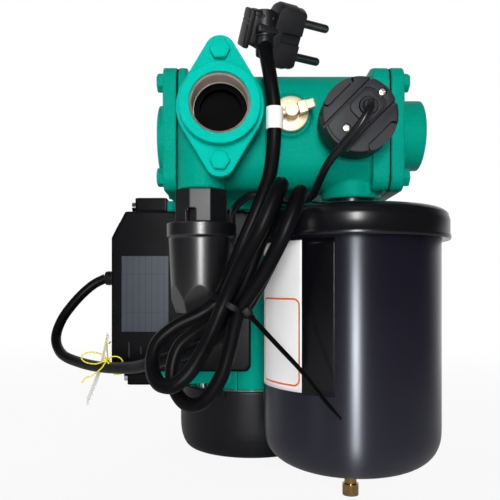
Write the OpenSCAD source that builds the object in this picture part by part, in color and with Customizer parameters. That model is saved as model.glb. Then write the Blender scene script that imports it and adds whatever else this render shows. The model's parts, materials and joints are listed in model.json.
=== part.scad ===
// Self-priming centrifugal water pump with a pressure tank, millimetres.
// The origin is on the motor axis, in the plane that the fan cover stands on.
// +X runs from the suction side to the outlet, -Y faces the viewer, +Z is up.

/* [Motor] */
// Height of the fan cover
fan_cover_h = 52; // [46:1:60]
// Outer radius of the fan cover
fan_cover_r = 58.4; // [58:0.2:62]
// Wall of the fan cover
fan_cover_wall = 2; // [1.6:0.2:2.6]
// Length of the finned frame
frame_len = 118; // [110:1:130]
// Radius of the frame's round wall
frame_r = 50; // [49:0.5:51]
// Wall of the frame
frame_wall = 3; // [2.5:0.5:4]
// Height of a cooling fin
fin_h = 4; // [3:0.5:4.5]
// Number of cooling fins, a multiple of four
fin_n = 28; // [20:4:32]
// Length of the stator stack
stator_len = 60; // [50:1:70]
// Radius of the rotor core
rotor_r = 26.5; // [24:0.5:28]
// Height of the bracket between motor and pump
bracket_h = 25; // [24:1:30]

/* [Pump head] */
// Distance from the motor axis to the front chamber's axis
chamber_reach = 120; // [112:1:130]
// Height of the front chamber
chamber_h = 70; // [66:0.5:73]
// Depth of the front chamber
chamber_d = 70; // [66:1:74]
// Wall of the casting
cast_wall = 6; // [5:0.5:7]
// Size of the square end flanges
flange_size = 74; // [72:1:80]
// Distance between end flange bolts
flange_bolt_pitch = 56.6; // [54:0.2:60]
// Thickness of an end cover
cover_t = 8; // [7:0.5:10]
// Thread radius of the suction and outlet ports
port_r = 16.6; // [14:0.1:17]
// Radius of the impeller
impeller_r = 40; // [36:1:42]

/* [Suction flange] */
// Distance between the two flange bolts
oval_bolt_pitch = 60.6; // [58:0.2:64]
// Half width of the flange across its middle
oval_half_w = 24.4; // [23.5:0.1:26]
// Radius of the flange's bolt ends
oval_end_r = 8.8; // [8.4:0.1:10]
// Thickness of the flange plate
oval_t = 8; // [7:0.5:10]

/* [Strainer] */
// Length of the bowl below its rim
bowl_len = 44; // [40:1:48]
// Radius of the bowl under its rim
bowl_r = 19.3; // [18.6:0.1:19.6]
// Width across the flats of the strainer head
strainer_af = 29.6; // [29:0.2:30.4]
// Turn of the bayonet in degrees
bayonet_turn = 30; // [20:1:35]

/* [Pressure tank] */
// Radius of the tank shell
tank_r = 54.5; // [50:0.5:56]
// Radius of the tank lid
lid_r = 60; // [58:0.5:62]
// Height of the tank shell below its lid
tank_h = 140; // [130:0.5:142.5]
// Wall of the tank
tank_wall = 1.6; // [1.2:0.2:2.4]

/* [Pressure switch] */
// Radius of the switch cap
switch_r = 21; // [20:0.5:22]
// Height of the switch cap
switch_h = 21; // [18:0.5:24]
// Travel of the switch plunger
plunger_travel = 1.5; // [1:0.1:2]

/* [Terminal box] */
// Width of the box, from the motor axis outwards
box_w = 103; // [98:1:110]
// Depth of the box
box_d = 130; // [126:1:136]
// Height of the box
box_h = 118; // [110:1:118]
// Wall of the box
box_wall = 2.5; // [2:0.1:3]

/* [Mains lead] */
// Diameter of the mains lead
cord_d = 8; // [6:0.5:8]
// Diameter of the switch lead
switch_lead_d = 4.5; // [3.5:0.5:4.5]

/* [Hidden] */
$fn = 64;
// Gap of seated pieces, of running pieces and of soft pieces
seat_gap = 0.02;
run_gap = 0.3;
ball_gap = 0.05;
gasket_t = 0.8;
eps = 0.01;

// Colours
green = [0.0, 0.6, 0.5];
black = [0.08, 0.08, 0.09];
grey = [0.35, 0.36, 0.38];
steel = [0.72, 0.73, 0.75];
brass = [0.83, 0.69, 0.36];
copper = [0.72, 0.42, 0.22];
dark_tank = [0.07, 0.06, 0.1];

// Heights along the motor axis
frame_z0 = fan_cover_h;
frame_z1 = frame_z0 + frame_len;
bracket_z1 = frame_z1 + bracket_h;
case_z0 = bracket_z1 + gasket_t;

// Bearings and shaft
bearing_ri = 7.5;
bearing_ro = 17.5;
bearing_w = 11;
bearing_ball_r = 3;
bearing_pitch_r = (bearing_ri + bearing_ro) / 2;
bearing_ring_t = 3;
ball_n = 8;
low_bearing_z = frame_z0;
top_bearing_z = frame_z1 + 4;
bearing_zs = [low_bearing_z, top_bearing_z];
shaft_fan_r = 6;
shaft_main_r = 9;
shaft_seal_r = 6.5;
shaft_impeller_r = 5;
shaft_thread_r = 4;
fan_z0 = 12;
fan_screw_r = 2;
fan_screw_hold = 5;
fan_h = 22;
fan_r = fan_cover_r - fan_cover_wall - 8;
stator_z0 = frame_z0 + (frame_len - stator_len) / 2;
stator_z1 = stator_z0 + stator_len;
air_gap = 0.5;
stator_ri = rotor_r + air_gap;
stator_ro = frame_r - frame_wall - seat_gap;
winding_h = 14;

// Tie bolts of the motor, in the gaps between fins
tie_r = 2.5;
tie_pitch_r = frame_r + tie_r + 0.3;
tie_angles = [45, 135, 225, 315];
shield_rim_r = fan_cover_r - fan_cover_wall - seat_gap;
shield_t = 6;
bracket_low_t = 8;
fin_tip_r = frame_r + fin_h;
saddle_r = tie_pitch_r + tie_r + 0.7;

// Casing and bracket flange
casing_bolt_pitch_r = 57;
casing_flange_r = 64;
casing_flange_t = 8;
cavity_r = impeller_r + 8;
cavity_h = 25;
case_r = cavity_r + cast_wall;
impeller_z0 = case_z0 + 8;
impeller_w = 13.5;
shroud_t = 2.5;
eye_r = 14;
eye_neck_r = eye_r + 3;
eye_z1 = case_z0 + cavity_h;
duct_r = 9.5;
duct_wall = 5;
suction_duct_x = -12;
suction_duct_z = eye_z1 + cast_wall + duct_r + 1;
delivery_duct_x = cavity_r - duct_r;
delivery_duct_z = case_z0 + duct_r + duct_wall;

// Front chamber
chamber_y = -chamber_reach;
chamber_z = bracket_z1 + 29;
chamber_front = chamber_y - chamber_d / 2;
chamber_low = chamber_z - chamber_h / 2;
chamber_x0 = -39;
chamber_x1 = 70;
chamber_round = 18;
body_flange_t = 5.5;
right_flange_t = 10;
left_face_x = chamber_x0 - body_flange_t;
right_face_x = chamber_x1 + right_flange_t;
flange_round = 9;
partition_x = 4;
partition_t = 4;
cover_boss_r = 22;
left_boss_h = 5.7;
outlet_boss_h = 17.5;
outlet_x0 = right_face_x + gasket_t;
outlet_x1 = outlet_x0 + cover_t + outlet_boss_h;
outlet_z = chamber_z + 3;
m6_r = 3;
m6_head_r = 5.8;
m6_head_h = 4.2;

// Suction port
suction_x = -18.75;
suction_z = chamber_z + 6;
oval_back_y = chamber_front - 16;
oval_front_y = oval_back_y - oval_t;
oval_ring_h = 7;
oval_join = 0.05;
oval_ring_r = 22.3;
seat_plate_t = 5;
seat_front_y = oval_back_y + gasket_t;
neck_r = 24;
neck_bore_r = 20;
valve_seat_t = 5;
valve_seat_y = seat_front_y + 1;
flap_r = 14.5;
flap_t = 2.5;
flap_pin_r = 1.25;
flap_hub_r = 2.2;
flap_arm_half = 2.6;
flap_lug_clear = 4.4;
flap_y = valve_seat_y + valve_seat_t + 0.1;
flap_pin_y = flap_y + flap_t / 2;
flap_pin_z = suction_z + flap_r + 1.5;

// Strainer
strainer_x = -30.5;
strainer_y = chamber_front - 1;
strainer_boss_r = 14;
strainer_z1 = chamber_low - 2.7;
strainer_head_h = 19;
strainer_head_z0 = strainer_z1 - strainer_head_h;
bowl_rim_r = bowl_r + 1;
bowl_rim_h = 8;
bowl_wall = 2;
bowl_bottom_r = bowl_r - 2;
spigot_r = 11.6;
spigot_h = 12;
lug_h = 4;
lug_w = 5;
lug_r = strainer_af / 2 - 1.8;
basket_r = 8.8;
strainer_bore_r = 10.4;
bowl_z1 = strainer_head_z0 - run_gap;
bowl_z0 = bowl_z1 - bowl_rim_h - bowl_len;

// Tank
tank_x = 61;
tank_y = chamber_y - 12;
tank_boss_r = 18;
tank_boss_z = chamber_low - 5;
nipple_flange_r = 14.5;
nipple_flange_h = 7;
nipple_r = 10;
nipple_low = 8;
nipple_hold = 12;
nipple_bore_r = 6;
lid_z1 = tank_boss_z - nipple_flange_h;
lid_h = 18.5;
lid_z0 = lid_z1 - lid_h;
lid_round = 8;
tank_dome_h = 27;
tank_z0 = lid_z0 - tank_h;
diaphragm_t = 2;
stem_r = 3.75;
valve_washer_r = 8.75;
valve_washer_h = 2;
valve_cap_r = 5;
valve_cap_h = 7;
valve_lift = 0.5;
stem_len = min(11, tank_z0 - valve_cap_h - valve_lift);

// Pressure switch
switch_x = 58;
switch_z = chamber_z + 0.5;
switch_boss_r = 14;
switch_base_y = chamber_front - 8.5;
switch_front_y = switch_base_y - switch_h;
switch_floor_t = 5;
switch_wall = 2;
plunger_r = 3;
plunger_len = 9;
grommet_x = switch_x + 4;
grommet_z = switch_z + 4;
grommet_r = 5.2;
switch_screw_r = 1.2;
switch_screw_head_r = 2.6;
switch_screw_reaches = [16.6, -11];

// Priming plug
priming_x = 21.5;
priming_z = chamber_z + 6.5;
priming_boss_r = 12.5;
priming_boss_h = 2.5;
priming_thread_r = 7.5;
priming_thread_len = 10;
priming_head_r = 10.3;
priming_head_t = 3.5;
priming_washer_t = 1;
priming_hub_r = 4;
priming_hub_h = 9;
priming_bar_r = 1.9;
priming_bar_half = 11.5;
priming_bar_tilt = 16;
priming_face_y = chamber_front - priming_boss_h;
priming_head_y = priming_face_y - priming_washer_t;

// Terminal box
box_z0 = frame_z0 + 15.5;
box_z1 = box_z0 + box_h;
box_x0 = -box_w;
box_chamfer_x = 10;
box_chamfer_z = 19;
box_right_chamfer = 3;
box_lug_y = 45;
box_lug_w = 12;
box_lug_h = 12;
box_lug_x0 = box_x0 + 15;
box_lug_x1 = box_x0 + 39;
low_lug_x0 = box_x0 + 9;
low_lug_x1 = box_x0 + 27;
box_screw_r = 2;
screw_play = 0.2;
box_screw_head_r = 3.5;
box_screw_head_h = 3;
box_screw_hold = 10;
top_ear_z = bracket_z1 - 4;
low_ear_z = frame_z0 + 9.5;
gland_y = 5;
gland_z = 137;
gland_r = 9;
gland_flange_t = 5;
gland_len = 20;
lead_grommet_x = -20;
lead_grommet_z = 158;
lead_grommet_r = 5;
capacitor_r = 17;
capacitor_h = 62;
capacitor_y = 28;
block_w = 12;
block_d = 34;
block_h = 46;
block_inset = 19;
block_rise = 30;

// Route of the mains lead from its gland to the plug, tied into a hank
cord_route = [
    [-123, 5, 137], [-134, 4, 131], [-146, 0, 119], [-156, -8, 103], [-158, -18, 88],
    [-149, -32, 77], [-130, -52, 73], [-106, -80, 73], [-80, -112, 77], [-60, -138, 84],
    [-38, -156, 92], [-20, -168, 102], [-6, -181, 117], [6, -182, 138], [15, -181, 158],
    [22, -185, 175], [24, -194, 180], [22, -203, 175], [15, -207, 158], [5, -200, 138],
    [-8, -193, 117], [-13, -190, 98], [-18, -189, 82], [-26, -187, 70], [-34, -183, 66],
    [-41, -178, 69], [-46, -173, 80], [-43, -170, 95], [-34, -170, 104], [-24, -172, 111],
    [-11, -175, 121], [-3, -178, 138], [5, -180, 160], [12, -185, 178], [14, -195, 184],
    [11, -205, 178], [3, -208, 160], [-8, -199, 140], [-16, -194, 122], [-22, -197, 107],
    [-28, -202, 95], [-34, -205, 86], [-42, -205, 80], [-50, -200, 81], [-54, -192, 89],
    [-52, -187, 100], [-42, -184, 109], [-28, -182, 116], [-19, -181, 124], [-12, -171, 140],
    [-5, -166, 158], [3, -166, 177], [9, -171, 194], [11, -177, 212], [11, -179, 228],
    [9, -177, 246], [7, -171, 260], [6, -166, 271]
];
cord_rings = 79;
cord_sides = 8;
sleeve_z0 = 217;
sleeve_z1 = 229;
sleeve_x = 11.2;
sleeve_y = -178.7;
sleeve_wall = 0.7;

// Route of the switch lead from the cap to the terminal box
switch_lead_route = [
    [62, -193, 228], [60, -197, 223], [55, -197, 215], [47, -191, 206], [40, -183, 197],
    [36, -171, 188], [33, -161, 182], [22, -154, 181], [8, -151, 184], [-2, -149, 185],
    [-12, -139, 177], [-13, -122, 166], [-17, -95, 160], [-20, -72, 158]
];
switch_lead_rings = 40;

// Cable tie round the hank
tie_centre = [-12, -184, 120];
tie_tilt = 30;
band_r = 13.3;
band_t = 1.2;
band_w = 3.4;
tie_head = 6;
tail_route = [[-4, -197, 117], [11, -200, 101], [25, -203, 86], [44, -205, 63]];
tail_dip = 50;

// Plug at the far end of the lead
plug_face = [24.7, -155, 275.8];
plug_dip = 4;
plug_roll = 30;
plug_yaw = 22;
plug_r = 18;
plug_flat = 8.5;
plug_body_t = 17;
plug_waist_t = 12;
plug_grip_t = 4;
pin_r = 2.4;
pin_len = 19;
pin_pitch = 19;
plug_exit = [6, -166, 271];

// Hang tag on the lead
tag_centre = [-117, -44.5, 67];
tag_w = 36;
tag_h = 54;
tag_t = 0.5;
tag_tilt = 17;

// Cylinders along the three axes, from one coordinate to the other
module cyl_x(x0, x1, r, y, z) {
    translate([x0, y, z]) rotate([0, 90, 0]) cylinder(h = x1 - x0, r = r);
}
module cyl_y(y0, y1, r, x, z) {
    translate([x, y1, z]) rotate([90, 0, 0]) cylinder(h = y1 - y0, r = r);
}
module cyl_z(z0, z1, r, x = 0, y = 0) {
    translate([x, y, z0]) cylinder(h = z1 - z0, r = r);
}
// A ring along Z
module ring_z(z0, z1, ri, ro, x = 0, y = 0) {
    difference() {
        cyl_z(z0, z1, ro, x, y);
        cyl_z(z0 - 1, z1 + 1, ri, x, y);
    }
}
// Drawn shapes pulled along X or Y: the shape's own axes become Y and Z, or X and Z
module along_x(x0, x1) {
    translate([x0, 0, 0]) rotate([90, 0, 90]) linear_extrude(x1 - x0) children();
}
module along_y(y0, y1) {
    translate([0, y1, 0]) rotate([90, 0, 0]) linear_extrude(y1 - y0) children();
}
module round_rect(w, h, r) {
    square([w - 2 * r, h], center = true);
    square([w, h - 2 * r], center = true);
    for (sx = [-1, 1], sy = [-1, 1])
        translate([sx * (w / 2 - r), sy * (h / 2 - r)]) circle(r);
}
module around(angles, r) {
    for (a = angles) rotate(a) translate([r, 0, 0]) children();
}
module hex(h, across) {
    cylinder(h = h, r = across / 2 / cos(30), $fn = 6);
}
// A hexagon bolt along +Z: its head below the origin, its shank above
module hex_bolt(r, len, head_r, head_h) {
    translate([0, 0, -head_h]) cylinder(h = head_h, r = head_r, $fn = 6);
    translate([0, 0, -eps]) cylinder(h = len + eps, r = r);
}
// A round-headed screw along +Z with a crossed recess
module cross_screw(r, len, head_r, head_h) {
    slot = head_r * 0.3;
    difference() {
        translate([0, 0, -head_h]) cylinder(h = head_h, r = head_r);
        for (a = [0, 90]) rotate(a)
            translate([-head_r * 0.7, -slot / 2, -head_h - 1]) cube([head_r * 1.4, slot, head_h * 0.5 + 1]);
    }
    translate([0, 0, -eps]) cylinder(h = len + eps, r = r);
}

// A tube of triangles swept along a smooth curve through the given points
function unit(v) = v / norm(v);
function at_end(p, i) = p[max(0, min(len(p) - 1, i))];
function spline(p, u) = let (
    i = min(floor(u), len(p) - 2),
    t = u - i,
    a = i > 0 ? p[i - 1] : 2 * p[0] - p[1],
    b = p[i],
    c = p[i + 1],
    d = i + 2 < len(p) ? p[i + 2] : 2 * c - b
) 0.5 * (2 * b + (c - a) * t + (2 * a - 5 * b + 4 * c - d) * t * t + (3 * b - a - 3 * c + d) * t * t * t);
function carried(ts, i, n) = i >= len(ts) ? [] : let (
    m = unit(n - ts[i] * (n * ts[i]))
) concat([m], carried(ts, i + 1, m));
module swept_tube(route, d, rings, sides) {
    last = len(route) - 1;
    path = [for (i = [0:rings - 1]) spline(route, last * i / (rings - 1))];
    dirs = [for (i = [0:rings - 1]) unit(at_end(path, i + 1) - at_end(path, i - 1))];
    norms = carried(dirs, 0, [0.1, 0.2, 1]);
    points = [for (i = [0:rings - 1], j = [0:sides - 1])
        let (a = 360 * j / sides, m = norms[i])
        path[i] + d / 2 * (cos(a) * m + sin(a) * cross(dirs[i], m))];
    walls = [for (i = [0:rings - 2], j = [0:sides - 1])
        let (a = i * sides + j, b = i * sides + (j + 1) % sides)
        each [[a, a + sides, b + sides], [a, b + sides, b]]];
    caps = [
        [for (j = [0:sides - 1]) j],
        [for (j = [sides - 1:-1:0]) (rings - 1) * sides + j]
    ];
    polyhedron(points, concat(walls, caps));
}

// Motor
module fan_cover() {
    flat_r = fan_cover_r - 8.4;
    round_h = 20;
    slot_n = 20;
    slot_w = 4;
    slot_r0 = 18;
    slot_r1 = flat_r - 6;
    color(black) difference() {
        rotate_extrude() polygon(concat(
            [for (a = [0:15:90]) [flat_r + (fan_cover_r - flat_r) * sin(a), round_h * (1 - cos(a))]],
            [[fan_cover_r, fan_cover_h], [fan_cover_r - fan_cover_wall, fan_cover_h]],
            [for (a = [90:-15:0]) [
                flat_r + (fan_cover_r - flat_r) * sin(a) - fan_cover_wall * sin(a),
                fan_cover_wall + (round_h - fan_cover_wall) * (1 - cos(a))]],
            [[0, fan_cover_wall], [0, 0]]
        ));
        for (i = [0:slot_n - 1]) rotate(i * 360 / slot_n)
            translate([slot_r0, -slot_w / 2, -1]) cube([slot_r1 - slot_r0, slot_w, fan_cover_wall + 2]);
        fan_cover_screw_places() cylinder(h = 4 * fan_cover_wall, r = fan_screw_r + screw_play / 2, center = true);
    }
}
// Radial screw places on the cover: +Z points to the motor axis
module fan_cover_screw_places() {
    for (a = tie_angles) rotate(a + 22.5)
        translate([fan_cover_r, 0, frame_z0 - shield_t / 2]) rotate([0, -90, 0]) children();
}
module fan_cover_screws() {
    color(steel) fan_cover_screw_places() cross_screw(fan_screw_r - seat_gap, fan_cover_wall + fan_screw_hold, 3.4, 1.8);
}
module cooling_fan() {
    blade_n = 9;
    blade_t = 2;
    hub_r = 12;
    color(grey) difference() {
        union() {
            cyl_z(fan_z0, fan_z0 + fan_h, hub_r);
            cyl_z(fan_z0 + fan_h - 2, fan_z0 + fan_h, fan_r * 0.7);
            for (i = [0:blade_n - 1]) rotate(i * 360 / blade_n)
                translate([hub_r - 1, -blade_t / 2, fan_z0 + 0.5]) cube([fan_r - hub_r + 1, blade_t, fan_h - 1.5]);
        }
        cyl_z(fan_z0 - 1, fan_z0 + fan_h + 1, shaft_fan_r + seat_gap);
    }
}
module lower_end_shield() {
    housing_r = bearing_ro + 4;
    color(grey) difference() {
        union() {
            cyl_z(frame_z0 - shield_t, frame_z0, shield_rim_r);
            cyl_z(frame_z0 - eps, frame_z0 + 4, frame_r - frame_wall - seat_gap);
            cyl_z(frame_z0 - eps, frame_z0 + bearing_w, housing_r);
        }
        cyl_z(low_bearing_z, low_bearing_z + bearing_w + 1, bearing_ro + seat_gap);
        cyl_z(frame_z0 - shield_t - 1, frame_z0 + 1, shaft_main_r + 1);
        around(tie_angles, tie_pitch_r) translate([0, 0, frame_z0 - shield_t - 1])
            cylinder(h = shield_t + 2, r = tie_r + 0.1);
        fan_cover_screw_places() translate([0, 0, fan_cover_wall]) cylinder(h = 12, r = 2, center = true);
    }
}
module motor_frame() {
    fin_t = 2.2;
    rim_h = 5;
    color(green) difference() {
        union() {
            translate([0, 0, frame_z0]) linear_extrude(frame_len) union() {
                circle(frame_r);
                for (i = [0:fin_n - 1]) rotate(i * 360 / fin_n)
                    translate([frame_r - 1, -fin_t / 2]) square([fin_h + 1, fin_t]);
            }
            for (sy = [-1, 1]) translate([low_lug_x1, sy * box_lug_y - box_lug_w / 2, low_ear_z - 4.5])
                cube([-low_lug_x1 - frame_r * 0.3, box_lug_w, 9]);
        }
        cyl_z(frame_z0 - 1, frame_z1 + 1, frame_r - frame_wall);
        around(tie_angles, tie_pitch_r) translate([0, 0, frame_z0 - 1])
            cylinder(h = frame_len + 2, r = tie_r + 0.1);
        for (sy = [-1, 1])
            cyl_x(low_lug_x1 - 1, low_lug_x1 + 14, box_screw_r + seat_gap, sy * box_lug_y, low_ear_z);
    }
}
module motor_tie_bolts() {
    low = frame_z0 - shield_t;
    top = frame_z1 + bracket_low_t;
    color(steel) around(tie_angles, tie_pitch_r) translate([0, 0, low]) {
        translate([0, 0, -3]) cylinder(h = 3, r = 3.2, $fn = 6);
        translate([0, 0, -eps]) cylinder(h = top - low + 5, r = tie_r);
        translate([0, 0, top - low]) cylinder(h = 3, r = 4.4, $fn = 6);
    }
}
module stator_core() {
    slots = 24;
    color(steel) difference() {
        cyl_z(stator_z0, stator_z1, stator_ro);
        cyl_z(stator_z0 - 1, stator_z1 + 1, stator_ri);
        for (i = [0:slots - 1]) rotate(i * 360 / slots) translate([stator_ri + 2, -1.5, stator_z0 - 1])
            cube([9, 3, stator_len + 2]);
    }
}
module stator_windings() {
    color(copper) for (z = [stator_z0 - winding_h, stator_z1])
        ring_z(z, z + winding_h, stator_ri + 2, stator_ro - 4);
}
module rotor_core() {
    color(steel) ring_z(stator_z0, stator_z1, shaft_main_r + seat_gap, rotor_r);
}
module motor_shaft() {
    seat_top = top_bearing_z + bearing_w;
    color(steel) union() {
        cyl_z(fan_z0 - 2, low_bearing_z + eps, shaft_fan_r);
        cyl_z(low_bearing_z, low_bearing_z + bearing_w + eps, bearing_ri - seat_gap);
        cyl_z(low_bearing_z + bearing_w, top_bearing_z, shaft_main_r);
        cyl_z(top_bearing_z - eps, seat_top, bearing_ri - seat_gap);
        cyl_z(seat_top - eps, impeller_z0, shaft_seal_r);
        cyl_z(impeller_z0 - eps, impeller_z0 + 9, shaft_impeller_r);
        cyl_z(impeller_z0 + 9 - eps, impeller_z0 + 16, shaft_thread_r);
    }
}
// Half section of a bearing ring with its ball groove
module race(ri, ro) {
    color(steel) for (z = bearing_zs) translate([0, 0, z]) rotate_extrude() difference() {
        translate([ri, 0]) square([ro - ri, bearing_w]);
        translate([bearing_pitch_r, bearing_w / 2]) circle(bearing_ball_r + ball_gap);
    }
}
module bearing_outer_rings() {
    race(bearing_ro - bearing_ring_t, bearing_ro);
}
module bearing_inner_rings() {
    race(bearing_ri, bearing_ri + bearing_ring_t);
}
module bearing_balls() {
    color(steel) for (z = bearing_zs, i = [0:ball_n - 1]) rotate(i * 360 / ball_n)
        translate([bearing_pitch_r, 0, z + bearing_w / 2]) sphere(bearing_ball_r);
}
module motor_bracket() {
    spigot_h = 4;
    neck = 42;
    color(green) difference() {
        union() {
            cyl_z(frame_z1 - spigot_h, frame_z1 + eps, frame_r - frame_wall - seat_gap);
            cyl_z(frame_z1, frame_z1 + bracket_low_t, fin_tip_r + 4);
            cyl_z(frame_z1, bracket_z1, neck);
            cyl_z(bracket_z1 - casing_flange_t, bracket_z1, casing_flange_r);
            for (sy = [-1, 1]) translate([box_lug_x1, sy * box_lug_y - box_lug_w / 2, top_ear_z - 4])
                cube([-box_lug_x1 - frame_r * 0.3, box_lug_w, 8]);
        }
        cyl_z(frame_z1 - spigot_h - 1, top_bearing_z, bearing_ro - 3);
        cyl_z(top_bearing_z, top_bearing_z + bearing_w, bearing_ro + seat_gap);
        cyl_z(top_bearing_z + bearing_w - eps, bracket_z1 - 6, shaft_seal_r + 2);
        cyl_z(bracket_z1 - 6 - eps, bracket_z1 + 1, 13);
        around(tie_angles, tie_pitch_r) translate([0, 0, frame_z1 - 1])
            cylinder(h = bracket_low_t + 2, r = tie_r + 0.1);
        around([0, 90, 180, 270], casing_bolt_pitch_r) translate([0, 0, bracket_z1 - casing_flange_t - 1])
            cylinder(h = casing_flange_t + 2, r = m6_r + 0.2);
        for (sy = [-1, 1])
            cyl_x(box_lug_x1 - 1, box_lug_x1 + 14, box_screw_r + seat_gap, sy * box_lug_y, top_ear_z);
    }
}
module casing_gasket() {
    color(black) difference() {
        ring_z(bracket_z1, case_z0, cavity_r, casing_flange_r - 0.5);
        around([0, 90, 180, 270], casing_bolt_pitch_r) translate([0, 0, bracket_z1 - 1])
            cylinder(h = gasket_t + 2, r = m6_r + 0.2);
    }
}
module casing_bolts() {
    color(steel) around([0, 90, 180, 270], casing_bolt_pitch_r)
        translate([0, 0, bracket_z1 - casing_flange_t])
            hex_bolt(m6_r - seat_gap, casing_flange_t + gasket_t + 7, m6_head_r, m6_head_h);
}
module seal_seat() {
    color("ivory") ring_z(bracket_z1 - 6, bracket_z1, shaft_seal_r + 1, 13 - seat_gap);
}
module seal_ring() {
    color(grey) ring_z(bracket_z1 + ball_gap, bracket_z1 + 3, shaft_seal_r + seat_gap, 11);
}
module seal_bellows() {
    color(black) ring_z(bracket_z1 + 3, impeller_z0, shaft_seal_r + seat_gap, 10);
}

// Pump
module impeller() {
    vane_n = 6;
    vane_t = 2;
    vane_r = impeller_r * 0.7;
    hub_r = 9;
    color(brass) difference() {
        union() {
            cyl_z(impeller_z0, impeller_z0 + shroud_t, impeller_r);
            cyl_z(impeller_z0, impeller_z0 + 9, hub_r);
            ring_z(impeller_z0 + impeller_w - shroud_t, impeller_z0 + impeller_w, eye_r, impeller_r);
            ring_z(impeller_z0 + impeller_w - eps, eye_z1 + 3, eye_r, eye_neck_r);
            translate([0, 0, impeller_z0 + shroud_t - eps])
                linear_extrude(impeller_w - 2 * shroud_t + 2 * eps) intersection() {
                    difference() {
                        circle(impeller_r);
                        circle(eye_r);
                    }
                    for (i = [0:vane_n - 1]) rotate(i * 360 / vane_n) translate([vane_r, 0]) difference() {
                        circle(vane_r * 0.75);
                        circle(vane_r * 0.75 - vane_t);
                        translate([-vane_r, 0]) square([2 * vane_r, vane_r]);
                    }
                }
        }
        cyl_z(impeller_z0 - 1, impeller_z0 + 10, shaft_impeller_r + seat_gap);
    }
}
module impeller_nut() {
    color(steel) translate([0, 0, impeller_z0 + 9]) difference() {
        hex(6, 12);
        translate([0, 0, -1]) cylinder(h = 8, r = shaft_thread_r + seat_gap);
    }
}
// Places of the four bolts of an end cover, in the plane across X
module cover_bolt_places(x, outward) {
    for (sy = [-1, 1], sz = [-1, 1])
        translate([x, chamber_y + sy * flange_bolt_pitch / 2, chamber_z + sz * flange_bolt_pitch / 2])
            rotate([0, outward * 90, 0]) children();
}
module chamber_section(shrink) {
    translate([chamber_y, chamber_z])
        round_rect(chamber_d - 2 * shrink, chamber_h - 2 * shrink, chamber_round - shrink);
}
module flange_section() {
    translate([chamber_y, chamber_z]) round_rect(flange_size, flange_size, flange_round);
}
// Outline of the oval flange: two bolt ends and a round middle joined by straight sides
module oval_section() {
    reach = oval_bolt_pitch / 2;
    lean = acos((oval_half_w - oval_end_r) / reach);
    side = [sin(lean), cos(lean)];
    mid = (oval_half_w - oval_join) * side;
    tip = (oval_end_r - oval_join) * side + [0, reach];
    translate([suction_x, suction_z]) {
        circle(oval_half_w);
        for (s = [-1, 1]) {
            translate([0, s * reach]) circle(oval_end_r);
            polygon([[-mid[0], s * mid[1]], [-tip[0], s * tip[1]], [tip[0], s * tip[1]], [mid[0], s * mid[1]]]);
        }
    }
}
module pump_body() {
    color(green) difference() {
        union() {
            cyl_z(case_z0, eye_z1 + cast_wall, case_r);
            cyl_z(case_z0, case_z0 + casing_flange_t, casing_flange_r);
            cyl_z(eye_z1, suction_duct_z + duct_r + duct_wall, eye_neck_r + 5);
            cyl_y(chamber_y + chamber_d / 2 - 1, 0, duct_r + duct_wall, suction_duct_x, suction_duct_z);
            cyl_y(chamber_y + chamber_d / 2 - 1, 0, duct_r + duct_wall, delivery_duct_x, delivery_duct_z);
            translate([suction_duct_x, chamber_y + chamber_d / 2 - 1, delivery_duct_z - 4])
                cube([delivery_duct_x - suction_duct_x, chamber_reach - chamber_d / 2 - case_r + 8, 8]);
            along_x(chamber_x0 - 1, chamber_x1 + 1) chamber_section(0);
            along_x(left_face_x, chamber_x0) flange_section();
            along_x(chamber_x1, right_face_x) flange_section();
            cyl_y(seat_front_y, chamber_front + 10, neck_r, suction_x, suction_z);
            along_y(seat_front_y, seat_front_y + seat_plate_t) oval_section();
            cyl_z(strainer_z1, chamber_z, strainer_boss_r, strainer_x, strainer_y);
            cyl_z(tank_boss_z, chamber_z, tank_boss_r, tank_x, tank_y);
            cyl_y(switch_base_y, chamber_front + 10, switch_boss_r, switch_x, switch_z);
            cyl_y(priming_face_y, chamber_front + 10, priming_boss_r, priming_x, priming_z);
        }
        // Impeller chamber, eye and the two ducts
        cyl_z(case_z0 - 1, eye_z1, cavity_r);
        cyl_z(eye_z1 - eps, eye_z1 + 4, eye_neck_r + run_gap);
        cyl_z(eye_z1, suction_duct_z, eye_r + 1);
        cyl_y(chamber_y, 0, duct_r, suction_duct_x, suction_duct_z);
        cyl_y(chamber_y, -cavity_r / 3, duct_r, delivery_duct_x, delivery_duct_z);
        around([0, 90, 180, 270], casing_bolt_pitch_r) translate([0, 0, case_z0 - 1])
            cylinder(h = casing_flange_t, r = m6_r);
        // Suction and delivery halves of the front chamber
        along_x(left_face_x - 1, partition_x) chamber_section(cast_wall);
        along_x(partition_x + partition_t, right_face_x + 1) chamber_section(cast_wall);
        cover_bolt_places(left_face_x - eps, 1) cylinder(h = body_flange_t - 1, r = m6_r);
        cover_bolt_places(right_face_x + eps, -1) cylinder(h = right_flange_t - 2, r = m6_r);
        // Ports and bosses
        cyl_y(seat_front_y - 1, chamber_front + 10, neck_bore_r, suction_x, suction_z);
        for (s = [-1, 1]) cyl_y(seat_front_y - 1, seat_front_y + seat_plate_t + 1, m6_r,
            suction_x, suction_z + s * oval_bolt_pitch / 2);
        cyl_z(strainer_z1 - 1, chamber_z - 8, strainer_bore_r, strainer_x, strainer_y);
        cyl_z(tank_boss_z - 1, chamber_z, nipple_r + seat_gap, tank_x, tank_y);
        cyl_y(switch_base_y - 1, chamber_front + 10, 6 + seat_gap, switch_x, switch_z);
        cyl_y(priming_face_y - 1, chamber_front + 10, priming_thread_r + ball_gap, priming_x, priming_z);
    }
}
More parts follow.
